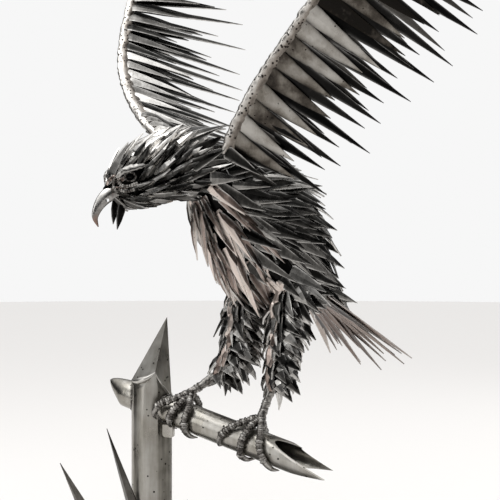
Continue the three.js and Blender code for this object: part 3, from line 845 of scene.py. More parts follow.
def make_branch():
    stub = []
    for t in np.linspace(1, 0, 14):
        radius = max((BRANCH_RADIUS - 0.4 * MM) * (1 - t) ** 0.66, 0.9 * MM)
        middle = (BRANCH_MIDDLE - branch_way * BRANCH_BACK).lerp(STUB_TIP, t)
        stub.append([middle + off_branch(360 * j / 72) * radius for j in range(72)])
    straight = [pipe_ring(d * MM, BRANCH_RADIUS) for d in PIPE_RINGS]
    piece = loft("branch_pipe", stub + straight, "pipe")

    def work(bm):
        for at, turn, angle in MOUTH:
            slant = math.radians(angle)
            normal = off_branch(turn) * math.cos(slant) + branch_way * math.sin(slant)
            plane_cut(bm, around_branch(at * MM, turn, BRANCH_RADIUS), normal)
        bevel_sharp(bm, 30, 0.5, 1)
        bmesh.ops.recalc_face_normals(bm, faces=bm.faces)

    remesh(piece.data, work)
    rings = [pipe_ring(d * MM, BRANCH_RADIUS - BRANCH_WALL) for d in BORE_RINGS]
    boolean(piece, loft("bore", rings, "pipe"), "DIFFERENCE")
    shade(piece.data, 30)
    set_number(piece.data, "tone", 0.6)
    return finish_piece(piece, "pipe_steel", "branch")


make_branch()

# %% [markdown]
# ## Bird's core
# The plates are welded to each other over an inner form. It shows only in the gaps between them, and
# its near-black finish paints the shade that falls there. So it is a plain skin through the same
# outlines as the CAD body, a little inside the plates.
# Each outline row holds the front edge, the back edge and the half width at one place of the body.

# %% Core of the body and the legs
BODY = [
    (-197, -215, 868, -200, -217, 897, 17), (-178, -204, 854, -187, -209, 928, 30),
    (-156, -191, 845, -173, -201, 954, 40), (-124, -172, 850, -147, -186, 979, 47),
    (-89, -152, 855, -110, -164, 1003, 52), (-54, -132, 859, -69, -141, 1018, 58),
    (-24, -115, 856, -10, -107, 998, 66), (-18, -111, 822, 75, -58, 966, 76),
    (0, -101, 781, 175, 0, 925, 84), (14, -93, 750, 226, 30, 858, 84),
    (27, -85, 722, 250, 43, 785, 78), (52, -71, 694, 264, 51, 728, 70),
    (118, -33, 662, 280, 60, 683, 56), (205, 18, 636, 288, 66, 664, 36),
]
LEGS = {
    "near": [(150, -70, 720, 96, 84), (176, -76, 680, 78, 76), (166, -85, 632, 58, 60),
             (161, -95, 580, 50, 54), (156, -104, 528, 44, 50), (149, -112, 482, 34, 40),
             (139, -117, 459, 20, 22)],
    "far": [(86, 34, 722, 96, 84), (90, 38, 680, 78, 76), (77, 25, 627, 60, 66), (69, 12, 572, 54, 62),
            (58, 0, 527, 48, 56), (34, -12, 492, 34, 42), (12, -20, 478, 20, 22)],
}
LEG_HINT = (1, 0.4, 0)
SKIN = 13 * MM


def body_surface(u, v, inset=SKIN):
    """Points of the body's skin; u is the outline row and v the turn from the back to the near side."""
    rows = spline(BODY, u) * MM
    front, back, half = rows[..., 0:3], rows[..., 3:6], rows[..., 6:7]
    reach = (back - front) / 2
    depth = np.maximum(np.linalg.norm(reach, axis=-1, keepdims=True) - inset, 0.002)
    v = np.asarray(v)[..., None]
    out = unit(reach) * depth * np.cos(v)
    return (front + back) / 2 + out + np.array(NEAR) * np.maximum(half - inset, 0.002) * np.sin(v)


def leg_surface(leg, u, v, inset=0.0):
    rows = spline(LEGS[leg], u) * MM
    path = spline(LEGS[leg], np.linspace(0, 6, 61))[:, :3] * MM
    _, side, out = frames_along(path, np.array(LEG_HINT))
    index = np.clip(np.round(np.asarray(u) * 10).astype(int), 0, 60)
    v = np.asarray(v)[..., None]
    across = side[index] * np.sin(v) * (rows[..., 3:4] / 2 - inset)
    return rows[..., :3] + across + out[index] * np.cos(v) * (rows[..., 4:5] / 2 - inset)


def make_core(name, surface, last):
    turns = np.linspace(0, 2 * np.pi, 40, endpoint=False)
    u, v = np.meshgrid(np.linspace(0, last, 60), turns, indexing="ij")
    # the dark finish at a low tone is painted shade, seen in the gaps between the plates
    return finish_piece(loft(name, surface(u, v), "dark", 0.25), "plate_steel", "body")


make_core("body_core", lambda u, v: body_surface(u, v, SKIN + 2 * MM), len(BODY) - 1)
for leg in LEGS:
    make_core(f"leg_core_{leg}", lambda u, v: leg_surface(leg, u, v, 5 * MM), 6)

# %% [markdown]
# ## Cladding of the body
# Each region of the bird has its own plates: thin slivers on head and neck, long shards down the breast,
# whose warm pink finish is a painted reflection of the ground, and broad dark shards on shoulder, flank,
# hip and back, with paler slips between them.
# A region is a patch of the body's skin whose "flow" attribute says which way its plates point. The
# cladding tree then does the rest, so a region is one line in a table.

# %% Cladding table
# name: (rows from, to, turn from, to, swing to the back, plate, width, length, height, spacing, sink,
#        lift, jitter, tone low, tone high, finish); sizes in mm, turns and lift in degrees
REGIONS = {
    "crown": (.3, 6, -60, 60, .1, "sliver", 13, 50, 8, 13, 0, 2, 5, .1, 1.1, "plate"),
    # crown_cap: its high tones are a painted highlight, the sky's light on the top of the head
    "crown_cap": (.9, 3.4, -40, 44, .1, "shard", 22, 60, 7, 22, -3, 2, 5, .7, 1.2, "plate"),
    "cheek": (2.6, 6, 50, 165, .62, "sliver", 12, 60, 13, 15, -2, 10, 9, .0, 1.05, "plate"),
    "jowl": (.7, 2.7, 114, 168, .2, "sliver", 11, 46, 11, 13, -2, 9, 8, .0, .6, "plate"),
    "lore": (.15, 1.5, 55, 116, .3, "sliver", 8, 19, 9, 8, -1, 10, 9, .3, .9, "chest"),
    "throat": (1, 6.4, 150, 210, .0, "sliver", 10, 54, 10, 14, -3, 6, 6, .0, .6, "plate"),
    "shoulder": (5, 8.6, -118, 118, .6, "shard", 35, 98, 10, 31, -5, 7, 7, .0, .4, "plate"),
    "shoulder_slip": (5.2, 8.6, -114, 114, .5, "shard", 25, 86, 12, 46, -11, 8, 9, .0, .7, "plate"),
    "breast": (6.2, 11.6, 116, 244, .0, "shard", 24, 108, 11, 26, -5, 8, 6, .3, 1.45, "chest"),
    "breast_slip": (6.3, 11.6, 112, 248, .1, "sliver", 13, 84, 11, 29, -10, 8, 8, .0, .8, "chest"),
    "flank": (7.4, 12.6, 34, 120, .45, "shard", 34, 96, 10, 30, -5, 7, 8, .0, .45, "plate"),
    "flank_slip": (7.6, 12.6, 30, 116, .5, "shard", 25, 86, 12, 44, -11, 8, 10, .0, .8, "plate"),
    "hip": (8.3, 11.6, 60, 136, 1.1, "shard", 36, 104, 11, 30, -12, 8, 7, .0, .6, "plate"),
    "back": (7.2, 12.7, -60, 60, .05, "shard", 34, 76, 12, 29, -4, 13, 8, .0, .6, "plate"),
    "rump": (11.2, 13, -180, 180, .1, "shard", 28, 80, 10, 25, -4, 8, 8, .0, .7, "plate"),
}
PATCH_STEPS = 40
BOTH_SIDES = ("cheek", "jowl", "lore", "flank", "flank_slip", "hip")


def guide_patch(name, surface, u_range, v_range, steer, stick):
    """An open patch of a surface with outward faces and the flow of its plates.

    "stick" is the share of a flow's outward part that stays, so that tips can stand off the surface."""
    turns = np.radians(np.linspace(*v_range, PATCH_STEPS))
    u, v = np.meshgrid(np.linspace(*u_range, PATCH_STEPS), turns, indexing="ij")
    points = surface(u, v)
    forward = unit(surface(u + 0.05, v) - surface(u - 0.05, v))
    across = surface(u, v + 0.02) - surface(u, v - 0.02)
    normal = unit(np.cross(across, forward))
    flow = steer(forward, u, v)
    outward = np.sum(flow * normal, axis=-1, keepdims=True)
    flow = unit(flow - normal * outward + normal * np.maximum(outward, 0) * stick)
    faces = grid_faces(PATCH_STEPS, PATCH_STEPS, closed=False)
    mesh = bpy.data.meshes.new(name)
    mesh.from_pydata(points.reshape(-1, 3).tolist(), [], faces)
    middle = len(faces) // 2
    if mesh.polygons[middle].normal.dot(Vector(normal.reshape(-1, 3)[faces[middle][0]])) < 0:
        mesh.flip_normals()
    set_vector(mesh, "flow", flow)
    return mesh


def tree_values(plate, size, spacing, sink, lift, jitter, low, high, finish, seed):
    return {
        "Plate": plates[plate], "Size": [s * MM for s in size], "Spacing": spacing * MM,
        "Sink": sink * MM, "Lift": math.radians(lift), "Jitter": math.radians(jitter),
        "Tone Low": low, "Tone High": high, "Material": FINISHES[finish], "Seed": seed,
    }


def grow_row(name, roots, flow, away, size, plate, lift, jitter, low, high, finish, seed, spread):
    """One plate on each root, with its own size in mm, by the row tree."""
    guide = bpy.data.meshes.new(name)
    guide.from_pydata(np.asarray(roots).tolist(), [], [])
    for label, values in (("flow", flow), ("away", away), ("size", size)):
        set_vector(guide, label, values)
    values = tree_values(plate, (1, 1, 1), 1, 0, lift, jitter, low, high, finish, seed)
    return grow(name, guide, ROW, {**values, "Spread": spread})


def clad_patch(name, surface, u_range, v_range, steer, stick, *look):
    """A patch of a surface, clad. The look is what tree_values asks for."""
    guide = guide_patch(name, surface, u_range, v_range, steer, stick)
    finish_piece(grow(name, guide, CLADDING, tree_values(*look)), "plate_steel", "body")


def clad(name, seed, row):
    swing, plate = row[4:6]

    def steer(forward, u, v):
        rows = spline(BODY, u)
        return forward + unit(rows[..., 3:6] - rows[..., 0:3]) * swing * np.abs(np.sin(v))[..., None]

    clad_patch(name, body_surface, row[:2], row[2:4], steer, 0, plate, row[6:9], *row[9:], seed)


for seed, (region, row) in enumerate(REGIONS.items()):
    clad(region + "_plates", seed + 3, row)
    if region in BOTH_SIDES:
        clad(f"far_{region}_plates", seed + 23, (*row[:2], -row[3], -row[2], *row[4:]))

# %% [markdown]
# ## Cladding of the legs
# The thighs wear broad plates and the shins thorns that stand off the leg, with paler slips between.
# Their surface is a tube round each leg, and the tree is the same as before. Down the front of each
# leg runs one chain of bright slivers.

# %% Cladding of the legs
LEG_LAYERS = [
    # name, rows from and to, plate, size, spacing, sink, swing to the back, lift, tone low, tone high
    ("thigh", (0.5, 2.2), "shard", (32, 74, 11), 25, 1, 1.1, 9, .0, .7),
    ("shin", (1.2, 5.5), "thorn", (30, 48, 14), 18, -1, 1.25, 14, .0, .85),
    ("shin_slips", (2.0, 5.7), "cut_shard", (17, 42, 12), 20, -2, .9, 14, .2, 1.05),
]


def clad_leg(leg, seed, layer):
    name, rows, plate, size, spacing, sink, swing, lift, low, high = layer

    def steer(forward, u, v):
        return forward + np.array(REAR) * swing

    def skin(u, v):
        return leg_surface(leg, u, v, 4 * MM)

    clad_patch(f"{name}_plates_{leg}", skin, rows, (0, 360), steer, 0.55,
               plate, size, spacing, sink, lift, 9, low, high, "plate", seed)


def leg_chain(leg, seed):
    """Pale slivers one under the other down the front of a leg."""
    u = np.linspace(0.15, 4.7, 12)
    v = np.radians(np.where(np.arange(12) % 2, 140, 158))
    roots = leg_surface(leg, u, v, -5 * MM)
    flow = unit(leg_surface(leg, u + 0.2, v, -3 * MM) - roots)
    away = unit(roots - leg_surface(leg, u, v, 20 * MM))
    size = np.stack([np.full(12, 17), np.linspace(64, 40, 12), np.full(12, 11)], axis=1)
    chain = grow_row(f"leg_chain_{leg}", roots, flow, away, size, "sliver", 3, 8, .45, 1.1, "chest",
                     seed, 0.2)
    return finish_piece(chain, "plate_steel", "body")


for seed, layer in enumerate(LEG_LAYERS):
    for leg in LEGS:
        clad_leg(leg, seed + 40, layer)
for leg in LEGS:
    leg_chain(leg, 48)

# %% [markdown]
# ## Wings
# A wing has a rounded leading edge, beaten by hand, with a row of broad light plates over rows of long
# ones, whose dark finish is painted shade. Everything hangs on one path from the shoulder to the wing
# tip.
# The band is a loft round that path with dents pushed into it, and its forward side has a painted
# highlight.
# The plates are rows of roots along it for the row tree.

# %% Wing paths and leading edges
WRISTS = {
    # points of the wing's path, from the shoulder over the wrist to the tip, in mm
    "near": [(60, -100, 905), (46, -150, 957), (97, -196, 1069), (178, -250, 1188), (253, -300, 1284),
             (351, -335, 1354), (472, -362, 1399)],
    "far": [(40, -70, 905), (-22, -35, 955), (-138, 62, 1049), (-204, 190, 1187), (-201, 290, 1352),
            (-152, 345, 1515)],
}
WING = {
    # way of the feathers at the root and at the tip, way up, and width and thickness of the band at both
    "near": {"way": (.8, .28, -.53), "end": (.98, .1, .02), "up": (0, -.87, -.46),
             "band": (27, 17, 12, 9)},
    "far": {"way": (.9, .32, -.29), "end": (.62, .35, .5), "up": (.4, -.72, .53),
            "band": (38, 20, 14, 9)},
}
FAN_FROM = 0.6


def wing_path(side, places):
    fine = even_path(WRISTS[side], 401) * MM
    places = np.clip(np.asarray(places) * 400, 0, 400)
    return np.stack([np.interp(places, np.arange(401), column) for column in fine.T], axis=1)


def feather_way(side, places):
    fan = (np.clip((places - FAN_FROM) / (1 - FAN_FROM), 0, 1) ** 2)[:, None]
    return unit(np.array(WING[side]["way"]) * (1 - fan) + np.array(WING[side]["end"]) * fan)


def make_band(side):
    places = np.linspace(0.09, 1, 150)
    width, thick, end_width, end_thick = WING[side]["band"]
    blend = places[:, None] ** 2
    sizes = (np.array([[width, thick]]) * (1 - blend) + np.array([[end_width, end_thick]]) * blend) * MM
    rows = np.hstack([wing_path(side, places), sizes])
    rings = tube_rings(rows, WING[side]["up"], 28)
    band = loft(f"leading_edge_{side}", rings, "band", 0.62, 60)
    # painted highlight: the tone rises on the side of the band that faces forward, away from the
    # feathers
    front = -unit(np.array(WING[side]["way"]))
    outer = np.sum(unit(rings - rows[:, None, :3]) * front, axis=-1).ravel()
    set_number(band.data, "tone", np.r_[0.45 + 0.5 * np.clip(outer, -0.4, 1), 0.5, 0.5])
    wavy(band.data, 11 * MM, 2.6 * MM, 4.0)
    wavy(band.data, 4 * MM, 0.8 * MM, 9.0)
    return finish_piece(band, "wing_steel", f"wing_{side}")


for side in WRISTS:
    make_band(side)

# %% [markdown]
# ## Feathers
# Each row of feathers is a table line: how many, where on the path they start and stop, how long and
# wide they are, how far above or below the band they sit, and how they are turned. Lengths grow
# towards the wing tip, and every other feather is shorter, so the tips don't end in one line.

# %% Feather rows
FEATHER_ROWS = {
    # name: (side, count, first and last place on the path, offset up and along in mm, length at the
    #        root and full length, width, height, share of the short ones, extra turn in degrees),
    #       (plate, tone low, tone high, finish, seed)
    "near_covert_plates": (("near", 9, .155, .555, 6, 0, 145, 185, 39, 10, .9, 0),
                           ("broad", .15, .9, "covert", 5)),
    "near_tip_coverts": (("near", 9, .605, .97, 6, 0, 190, 212, 36, 10, .9, 0),
                         ("broad", -.3, .45, "covert", 5)),
    # the near-black rows under the light plates paint the shade that falls under and between them
    "near_dark_feathers": (("near", 21, .17, .985, -3, 0, 195, 300, 34, 8, .84, 2),
                           ("spike", .0, .6, "dark", 6)),
    "near_back_feathers": (("near", 19, .185, .95, -8, 6, 150, 250, 22, 8, .8, -3),
                           ("lance", .2, 1.0, "dark", 7)),
    "near_root_slips": (("near", 9, .09, .24, 1, 4, 120, 150, 20, 10, .8, 5),
                        ("lance", .1, .8, "dark", 8)),
    "far_covert_plates": (("far", 19, .33, .97, 7, 0, 112, 165, 24, 11, .8, 0),
                          ("broad", .0, 1.2, "plate", 9)),
    # far_dark_feathers in low plate tones and far_back_feathers in near-black steel are painted shade
    "far_dark_feathers": (("far", 30, .2, .985, -2, 0, 180, 300, 19, 8, .82, 1),
                          ("lance", -.2, .35, "plate", 10)),
    "far_back_feathers": (("far", 27, .15, .97, -9, 0, 130, 205, 38, 8, .85, -3),
                          ("spike", .0, .3, "dark", 11)),
    "far_hoops": (("far", 9, .14, .335, 8, 0, 120, 130, 15, 16, .9, 2),
                  ("hoop", .4, 1.2, "plate", 12)),
}


def turned(vectors, axis, degrees):
    turn = Matrix.Rotation(math.radians(degrees), 3, Vector(axis))
    return np.array([turn @ Vector(v) for v in vectors])


def feather_row(name, lay, look):
    side, count, first, last, up_by, along_by, root, full, width, height, short, turn = lay
    plate, low, high, finish, seed = look
    places = np.linspace(first, last, count)
    up = unit(np.array(WING[side]["up"], float))
    way = turned(feather_way(side, places), up, turn)
    grown = np.sin(np.minimum(places * 1.3, 1) * np.pi / 2)
    length = (root + (full - root) * grown) * np.where(np.arange(count) % 2, short, 1)
    roots = wing_path(side, places) + up * up_by * MM + way * along_by * MM
    size = np.stack([np.full(count, width), length, np.full(count, height)], axis=1)
    away = np.broadcast_to(up, roots.shape)
    feathers = grow_row(name, roots, way, away, size, plate, 0, 2.2, low, high, finish, seed, 0.07)
    return finish_piece(feathers, "wing_steel", f"wing_{side}")


for name, row in FEATHER_ROWS.items():
    feather_row(name, *row)


def root_surface(side, u, v):
    """A sleeve round the first part of the leading edge."""
    places = 0.03 + 0.1 * np.asarray(u)
    middle = wing_path(side, places.ravel()).reshape(*places.shape, 3)
    path = wing_path(side, np.linspace(0, 0.25, 51))
    _, across, out = frames_along(path, np.array(WING[side]["up"]))
    index = np.clip(np.round(places * 200).astype(int), 0, 50)
    v = np.asarray(v)[..., None]
    return middle + across[index] * np.sin(v) * 20 * MM + out[index] * np.cos(v) * 14 * MM


def cover_root(side):
    way = np.array(WING[side]["way"])

    def steer(forward, u, v):
        return forward * 0 + way

    def skin(u, v):
        return root_surface(side, u, v)

    clad_patch(f"shoulder_cover_{side}", skin, (0, 1), (0, 360), steer, 0,
               "shard", (28, 84, 9), 24, 2, 5, 8, .0, .55, "plate", 57)


for side in WRISTS:
    cover_root(side)

# %% [markdown]
# ## Tail
# The tail is a fan of long narrow plates, brown from the heat of welding, in layers that lap at the
# root. The fan lies across the bird, so its directions turn about the tail's own face. A second,
# shorter layer covers the roots.

# %% Tail
TAIL_ROOT = (240, 36, 655)
TAIL_WAY = Vector((0.67, 0.3, -0.68)).normalized()
TAIL_FACE = NEAR.cross(TAIL_WAY).normalized()
TAIL_ROWS = {
    # name: (count, half spread, half width of the roots, layer, longest, shortest, width, tone low,
    #        tone high, seed)
    "tail_plates": (9, 36, 34, 3.4, 244, 208, 40, .05, .85, 21),
    "tail_under_plates": (8, 32, 30, -4, 216, 165, 32, .0, .65, 22),
    "tail_coverts": (7, 26, 30, 9, 150, 110, 36, .0, .5, 23),
}


def tail_row(name, row):
    count, spread, half, layer, longest, shortest, width, low, high, seed = row
    across = np.linspace(-1, 1, count)
    way = np.array([Matrix.Rotation(math.radians(-a * spread), 3, TAIL_FACE) @ TAIL_WAY for a in across])
    roots = np.array(TAIL_ROOT) + np.outer(across * half, np.array(NEAR)) + np.array(TAIL_FACE) * layer
    roots = roots * MM
    length = np.where(np.arange(count) % 2, shortest, longest)
    size = np.stack([np.full(count, width), length, np.full(count, 9)], axis=1)
    away = np.broadcast_to(np.array(TAIL_FACE), roots.shape)
    fan = grow_row(name, roots, way, away, size, "shard", 0, 3.0, low, high, "tail", seed, 0.05)
    nodes = [f"tail_plate_{i}" for i in range(1, 10)]
    return finish_piece(fan, "tail_steel", *nodes)


for name, row in TAIL_ROWS.items():
    tail_row(name, row)

# %% [markdown]
# ## Weld beads
# The toes are built up from weld metal, laid bead on bead like a stack of coins, and the seams of the
# post and base are beads too. A bead is one flattened ball. A tree turns a line of vertices into a
# curve, sets beads on it at an even step and scales them by the "girth" attribute.

# %% Weld bead tree


def make_bead_ball():
    mesh = shape_mesh("bead", bmesh.ops.create_uvsphere, Matrix(), u_segments=8, v_segments=5,
                      radius=0.5)
    for face in mesh.polygons:
        face.use_smooth = True
    return new_piece("bead", mesh, None)


def make_bead_tree():
    tree, source, out = new_tree("weld_beads", "GeometryNodeTree", {
        "Guide": ("Geometry",), "Bead": ("Object",), "Step": ("Float", 0.005),
        "Flatness": ("Float", 0.6), "Seed": ("Int", 1), "Material": ("Material",),
    }, {"Geometry": ("Geometry",)})
    seed = source["Seed"]
    curve = add(tree, "GeometryNodeMeshToCurve", {"Mesh": source["Guide"]})[0]
    even = add(tree, "GeometryNodeResampleCurve", {"Curve": curve, "Length": source["Step"]},
               mode="LENGTH")[0]
    along = add(tree, "GeometryNodeInputTangent")[0]
    facing = add(tree, "FunctionNodeAlignRotationToVector", {"Vector": along}, axis="Z")[0]
    wobble = random_vector(tree, (-.22, -.22, -3), (.22, .22, 3), seed, 5)
    vary = random_number(tree, 0.86, 1.16, seed, 9)
    wide = add_math(tree, "MULTIPLY", named(tree, "girth", "FLOAT"), vary)
    flat = add_math(tree, "MULTIPLY", wide, source["Flatness"])
    scale = add(tree, "ShaderNodeCombineXYZ", {"X": wide, "Y": wide, "Z": flat})[0]
    tone = random_number(tree, 0.3, 0.8, seed, 13)
    stand(tree, source, out, "Bead", even, facing, wobble, scale, tone)
    return tree


plates["bead"] = make_bead_ball()
BEADS = make_bead_tree()


def bead_seam(name, lines, step, flatness, seed, *nodes):
    """Beads along one or more lines. A line is rows of [x, y, z, girth] in metres."""
    points, edges, girths = [], [], []
    for line in lines:
        first = len(points)
        points += [tuple(row[:3]) for row in line]
        girths += [row[3] for row in line]
        edges += [(first + i, first + i + 1) for i in range(len(line) - 1)]
    mesh = bpy.data.meshes.new(name)
    mesh.from_pydata(points, edges, [])
    set_number(mesh, "girth", np.array(girths))
    values = {"Bead": plates["bead"], "Step": step * MM, "Flatness": flatness, "Seed": seed,
              "Material": FINISHES["weld"]}
    return finish_piece(grow(name, mesh, BEADS, values), "weld_steel", *nodes)


print("bead tree:", BEADS.name)

# %% [markdown]
# ## Feet
# A foot is a bare shank and four toes, three over the near side of the branch and one behind, each
# ending in a smooth claw. Toe rows say where the toe runs round the branch: the distance along it,
# the turn from its top, the height over its skin and the thickness. A smooth core runs inside, and
# beads cover all but the claw.

# %% Feet
FEET = {
    # toes: (distance along the branch in mm, turn in degrees, height over the skin, thickness)
    "near": {"knee": (141, -117, 474), "heel": (118, -128, 411), "toes": [
        [(258, 8, 20, 14), (238, 28, 13, 13), (220, 56, 9, 12), (207, 90, 8, 10), (203, 124, 7, 5),
         (205, 140, 2, 1.5)],
        [(266, 12, 20, 14), (262, 40, 14, 13), (258, 76, 9, 12), (257, 122, 8, 11), (262, 166, 7, 8),
         (277, 196, 3, 1.5)],
        [(274, 8, 20, 14), (290, 36, 14, 13), (299, 76, 9, 12), (314, 112, 8, 11), (329, 144, 7, 8),
         (343, 160, 3, 1.5)],
        [(262, -6, 20, 14), (267, -40, 11, 13), (272, -80, 9, 12), (273, -130, 8, 9),
         (268, -176, 6, 1.5)]]},
    "far": {"knee": (15, -20, 483), "heel": (-34, -34, 450), "toes": [
        [(98, 10, 22, 14), (80, 30, 19, 13), (62, 52, 16, 13), (47, 72, 18, 11), (41, 98, 16, 9),
         (44, 116, 11, 1.5)],
        [(100, 14, 20, 14), (90, 42, 14, 13), (80, 70, 10, 12), (76, 108, 8, 10), (80, 134, 6, 5),
         (87, 148, 2, 1.5)],
        [(106, 10, 20, 14), (112, 42, 14, 13), (113, 80, 9, 12), (117, 118, 8, 11), (125, 146, 7, 8),
         (137, 166, 3, 1.5)],
        [(100, -6, 20, 14), (99, -44, 11, 13), (100, -90, 9, 12), (97, -140, 8, 9), (92, 176, 6, 1.5)]]},
}
CLAW_SHARE = 0.26
CORE_WIDTH, CLAW_WIDTH, BEAD_WIDTH = 0.9, 1.3, 1.5


def toe_rows(foot, toe):
    rows = []
    for distance, turn, lift, thick in toe:
        place = around_branch(distance * MM, turn, BRANCH_RADIUS + lift * MM)
        rows.append((*(place / MM), thick, thick))
    rows[0] = (*foot["heel"], 15, 15)
    return even_path(rows, 40)


def make_foot(side):
    foot = FEET[side]
    node = f"foot_{side}"
    knee, heel = Vector(foot["knee"]), Vector(foot["heel"])
    beyond = heel + (heel - knee).normalized() * 9
    shank = [(*knee, 23, 23), (*knee.lerp(heel, .3), 19, 19), (*knee.lerp(heel, .6), 17, 17),
             (*knee.lerp(heel, .85), 18, 18), (*heel, 21, 20), (*beyond, 12, 12)]
    rings = tube_rings(even_path(shank, 40) * MM, (0, -1, 0), 16)
    leg = loft(f"shank_{side}", rings, "weld", 0.62, 60)
    wavy(leg.data, 6 * MM, 1.6 * MM, 2.0)
    finish_piece(leg, "weld_steel", node)
    lines = []
    for k, toe in enumerate(foot["toes"]):
        rows = toe_rows(foot, toe)
        share = np.linspace(0, 1, len(rows))
        rows[:, 3:] *= np.interp(share, [.6, 1 - CLAW_SHARE], [CORE_WIDTH, CLAW_WIDTH])[:, None]
        rings = tube_rings(rows * MM, branch_way, 12)
        finish_piece(loft(f"toe_{side}_{k + 1}", rings, "weld", 0.66, 60), "weld_steel", node)
        beaded = rows[: int(len(rows) * (1 - CLAW_SHARE))] * MM
        lines.append(np.hstack([beaded[:, :3], beaded[:, 3:4] * BEAD_WIDTH]))
    knuckle = [(*(heel.lerp(knee, t) * MM), 0.019) for t in np.linspace(-.12, .5, 8)]
    lines.append(knuckle)
    bead_seam(f"toe_beads_{side}", lines, 5.4, 0.5, 31, node)


for side in FEET:
    make_foot(side)

# %% [markdown]
# ## Head
# The face is what the eye goes to first. The hooked upper beak is one loft with a flat-sided section
# and a rounded ridge. Its nostril is drilled right through, from side to side, by a Boolean. The tone
# is brown at the hook's point, and above it the faces that look up and forward get a painted highlight.
# Two leaf plates hang open below it.

# %% Beak
BEAK = [(-160, -192, 889, 30, 36), (-172, -199, 884, 29, 35), (-186, -208, 874, 25, 31),
        (-200, -216, 860, 20, 26), (-210, -222, 842, 14, 19), (-214, -224, 824, 8, 12),
        (-208, -221, 806, 1.6, 2)]
# for each jaw plate its root, its tip and its width
JAWS = {"near": ((-160, -208, 864), (-171, -212, 801), 17),
        "far": ((-178, -193, 864), (-181, -196, 812), 15)}
NOSTRIL = Vector((-190, -210, 860))
NOSTRIL_RADIUS = 3.6 * MM


def make_beak():
    rows = even_path(BEAK, 44) * MM
    _, side, out = frames_along(rows[:, :3], np.array((-0.6, -0.35, 0.7)))
    turn = np.linspace(0, 2 * np.pi, 24, endpoint=False)
    x = np.sign(np.sin(turn)) * np.abs(np.sin(turn)) ** 0.8
    y = np.where(np.cos(turn) > 0, np.abs(np.cos(turn)) ** 0.9, -np.abs(np.cos(turn)) ** 0.55)
    x = x * np.where(y > 0.3, 1 - 0.35 * (y - 0.3), 1)
    rings = rows[:, None, :3] + side[:, None] * x[None, :, None] * rows[:, 3, None, None] / 2
    rings = rings + out[:, None] * y[None, :, None] * rows[:, 4, None, None] / 2
    beak = loft("beak_horn", rings, "beak", 0.75, 50)
    place = Matrix.Translation(NOSTRIL * MM) @ Matrix.Rotation(math.pi / 2, 4, "X")
    drill = shape_mesh("nostril_drill", bmesh.ops.create_cone, place, cap_ends=True, segments=20,
                       radius1=NOSTRIL_RADIUS, radius2=NOSTRIL_RADIUS, depth=80 * MM)
    boolean(beak, new_piece("nostril_drill", drill, FINISHES["beak"]), "DIFFERENCE")
    # painted highlight: above the hook's point, faces that look up and forward get a higher tone
    height = np.array([v.co.z for v in beak.data.vertices])
    ridge = np.array([v.normal.dot(Vector((-0.65, -0.3, 0.7))) for v in beak.data.vertices])
    tones = np.clip((height - 0.812) / 0.03, 0, 1) * (0.4 + 0.5 * np.clip(ridge, 0, 1)) + 0.1
    set_number(beak.data, "tone", tones)
    shade(beak.data, 50)
    return finish_piece(beak, "beak_steel", "beak_upper")


def make_jaw(side):
    root, tip, width = JAWS[side]
    root, tip = np.array(root, float), np.array(tip, float)
    length = np.linalg.norm(tip - root)
    flow, away, size = [unit(tip - root)], [np.array(NEAR)], [(width, length, 9)]
    jaw = grow_row(f"jaw_plate_{side}", [root * MM], flow, away, size, "sliver", 0, 0, .15, .2, "dark",
                   50, 0)
    return finish_piece(jaw, "plate_steel", f"beak_lower_{side}")


make_beak()
for side in JAWS:
    make_jaw(side)

# %% [markdown]
# ## Brow and eye
# A heavy brow plate shades the eye, which sits deep in a ring of weld. Short runs of weld fill the
# corner between brow, eye and beak. The far side of the face mirrors the near side.

# %% Brow and eye
EYE = Vector((-142, -231, 906))
BROW = {"near": [(-169, -235, 903, 8, 8), (-160, -238, 915, 14, 9), (-144, -237, 922, 17, 11),
                 (-124, -228, 927, 14, 9), (-110, -217, 930, 2, 2)]}
FACE_WELDS = [[(-172, -232, 904), (-177, -226, 888), (-170, -228, 876)],
              [(-166, -234, 897), (-160, -236, 888), (-146, -239, 886), (-130, -236, 892)],
              [(-164, -233, 880), (-150, -236, 876), (-136, -236, 880)]]
HEAD_MIDDLE = Vector((-162, -197, 0))


def far_side(point):
    """The same point on the bird's far side, mirrored in its middle plane."""
    point = Vector(point)
    return point - NEAR * 2 * (point - HEAD_MIDDLE).dot(NEAR)


BROW["far"] = [(*far_side(row[:3]), row[3], row[4]) for row in BROW["near"]]
EYES = {"near": EYE, "far": far_side(EYE)}


def make_eye(side):
    outward = NEAR if side == "near" else -NEAR
    middle = EYES[side] - outward * 4
    ring = []
    for turn in np.linspace(0, 2 * math.pi, 17):
        around = REAR * math.cos(turn) * 12 + Vector((0, 0, 1)) * math.sin(turn) * 9
        ring.append((*((middle + around) * MM), 0.0052))
    bead_seam(f"eye_ring_{side}", [ring], 3.2, 0.7, 61, "body")
    place = Matrix.Translation((middle - outward * 3) * MM)
    mesh = shape_mesh(f"eye_{side}", bmesh.ops.create_uvsphere, place, u_segments=24, v_segments=14,
                      radius=6.2 * MM)
    shade(mesh, 60)
    # painted shade: the eyeball's near-black finish stands for the shade of the hollow under the brow
    set_number(mesh, "tone", 0.45)
    finish_piece(new_piece(f"eye_{side}", mesh, FINISHES["dark"]), "plate_steel", "body")
    rings = tube_rings(even_path(BROW[side], 30) * MM, outward + Vector((0, 0, 1)), 12)
    brow = loft(f"brow_{side}", rings, "plate", 0.75, 50)
    wavy(brow.data, 6 * MM, 2.2 * MM, 3.0)
    finish_piece(brow, "plate_steel", "body")
    lines = []
    for line in FACE_WELDS:
        line = line if side == "near" else [tuple(far_side(point)) for point in line]
        lines.append([(*(Vector(row[:3]) * MM), 0.0085) for row in even_path(line, 12)])
    bead_seam(f"face_welds_{side}", lines, 4.6, 0.75, 62, "body")


for side in EYES:
    make_eye(side)

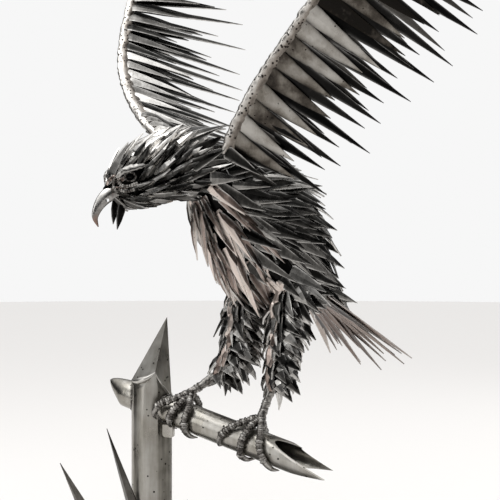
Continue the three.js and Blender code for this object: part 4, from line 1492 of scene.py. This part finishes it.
# %% [markdown]
# ## Seams
# Where two plates meet, weld metal fills the corner. The post is welded to the base, the branch to the
# post, and each blade to what it springs from. Beads run round the post's foot and the branch's joint,
# and ridges of weld along the post's collar.

# %% Seams


def ring_line(middle, radius, girth):
    """A level ring of places, each with the width of its beads."""
    return [(middle.x + radius * math.cos(t), middle.y + radius * math.sin(t), middle.z, girth)
            for t in np.linspace(0, 2 * math.pi, 49)]


def branch_seam():
    """Where the branch's skin meets the post's: for each turn, the place where the two radii agree."""
    lines = []
    for sign in (-1, 1):
        line = []
        for turn in np.linspace(0, 360, 49):
            low, high = 0.0, 0.2
            for _ in range(30):
                middle = (low + high) / 2
                point = around_branch(sign * middle, turn, BRANCH_RADIUS)
                inside = math.hypot(point.x - POST_AXIS.x, point.y) < POST_RADIUS
                low, high = (middle, high) if inside else (low, middle)
            line.append((*around_branch(sign * low, turn, BRANCH_RADIUS), 0.0065))
        lines.append(line)
    return lines


COLLAR_WELDS = [13, 6, 4, 4, 5]


def make_collar_weld(i):
    """A ridge of weld along the post's skin from one shoulder to the next, ground almost flush."""
    corner, other = SHOULDERS[i], SHOULDERS[(i + 1) % len(SHOULDERS)]
    rows = []
    for t in np.linspace(0, 1, 13):
        place = corner.lerp(other, t)
        girth = COLLAR_WELDS[i] * MM * (0.35 + 0.65 * math.sin(math.pi * t))
        wall = Vector((place.x - POST_AXIS.x, place.y, 0)).normalized() * (POST_RADIUS - girth * 0.28)
        height = place.z - 0.007 * math.sin(math.pi * t) - 0.003
        rows.append((POST_AXIS.x + wall.x, wall.y, height, girth, girth))
    ridge = loft(f"collar_weld_{i + 1}", tube_rings(rows, (0, 0, 1), 16), "pipe", 0.95, 60)
    wavy(ridge.data, 9 * MM, 1.5 * MM, 5.0)
    return finish_piece(ridge, "pipe_steel", "post")


bead_seam("branch_seams", branch_seam(), 3.4, 0.5, 71)
for i in range(len(SHOULDERS)):
    make_collar_weld(i)
foot_ring = POST_AXIS + Vector((0, 0, 0.0135))
bead_seam("post_foot_seam", [ring_line(foot_ring, POST_RADIUS + 0.0015, 0.009)], 4.6, 0.5, 72)

# %% [markdown]
# ## Finish
# The plate masters have done their work and go, and the shown pieces and their faces are counted.

# %% Finish
for master in plates.values():
    bpy.data.objects.remove(master)

faces = {o.name: len(o.data.polygons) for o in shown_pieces() if o.type == "MESH"}
print("pieces:", len(faces), "faces in all:", sum(faces.values()), "largest:", max(faces.values()))
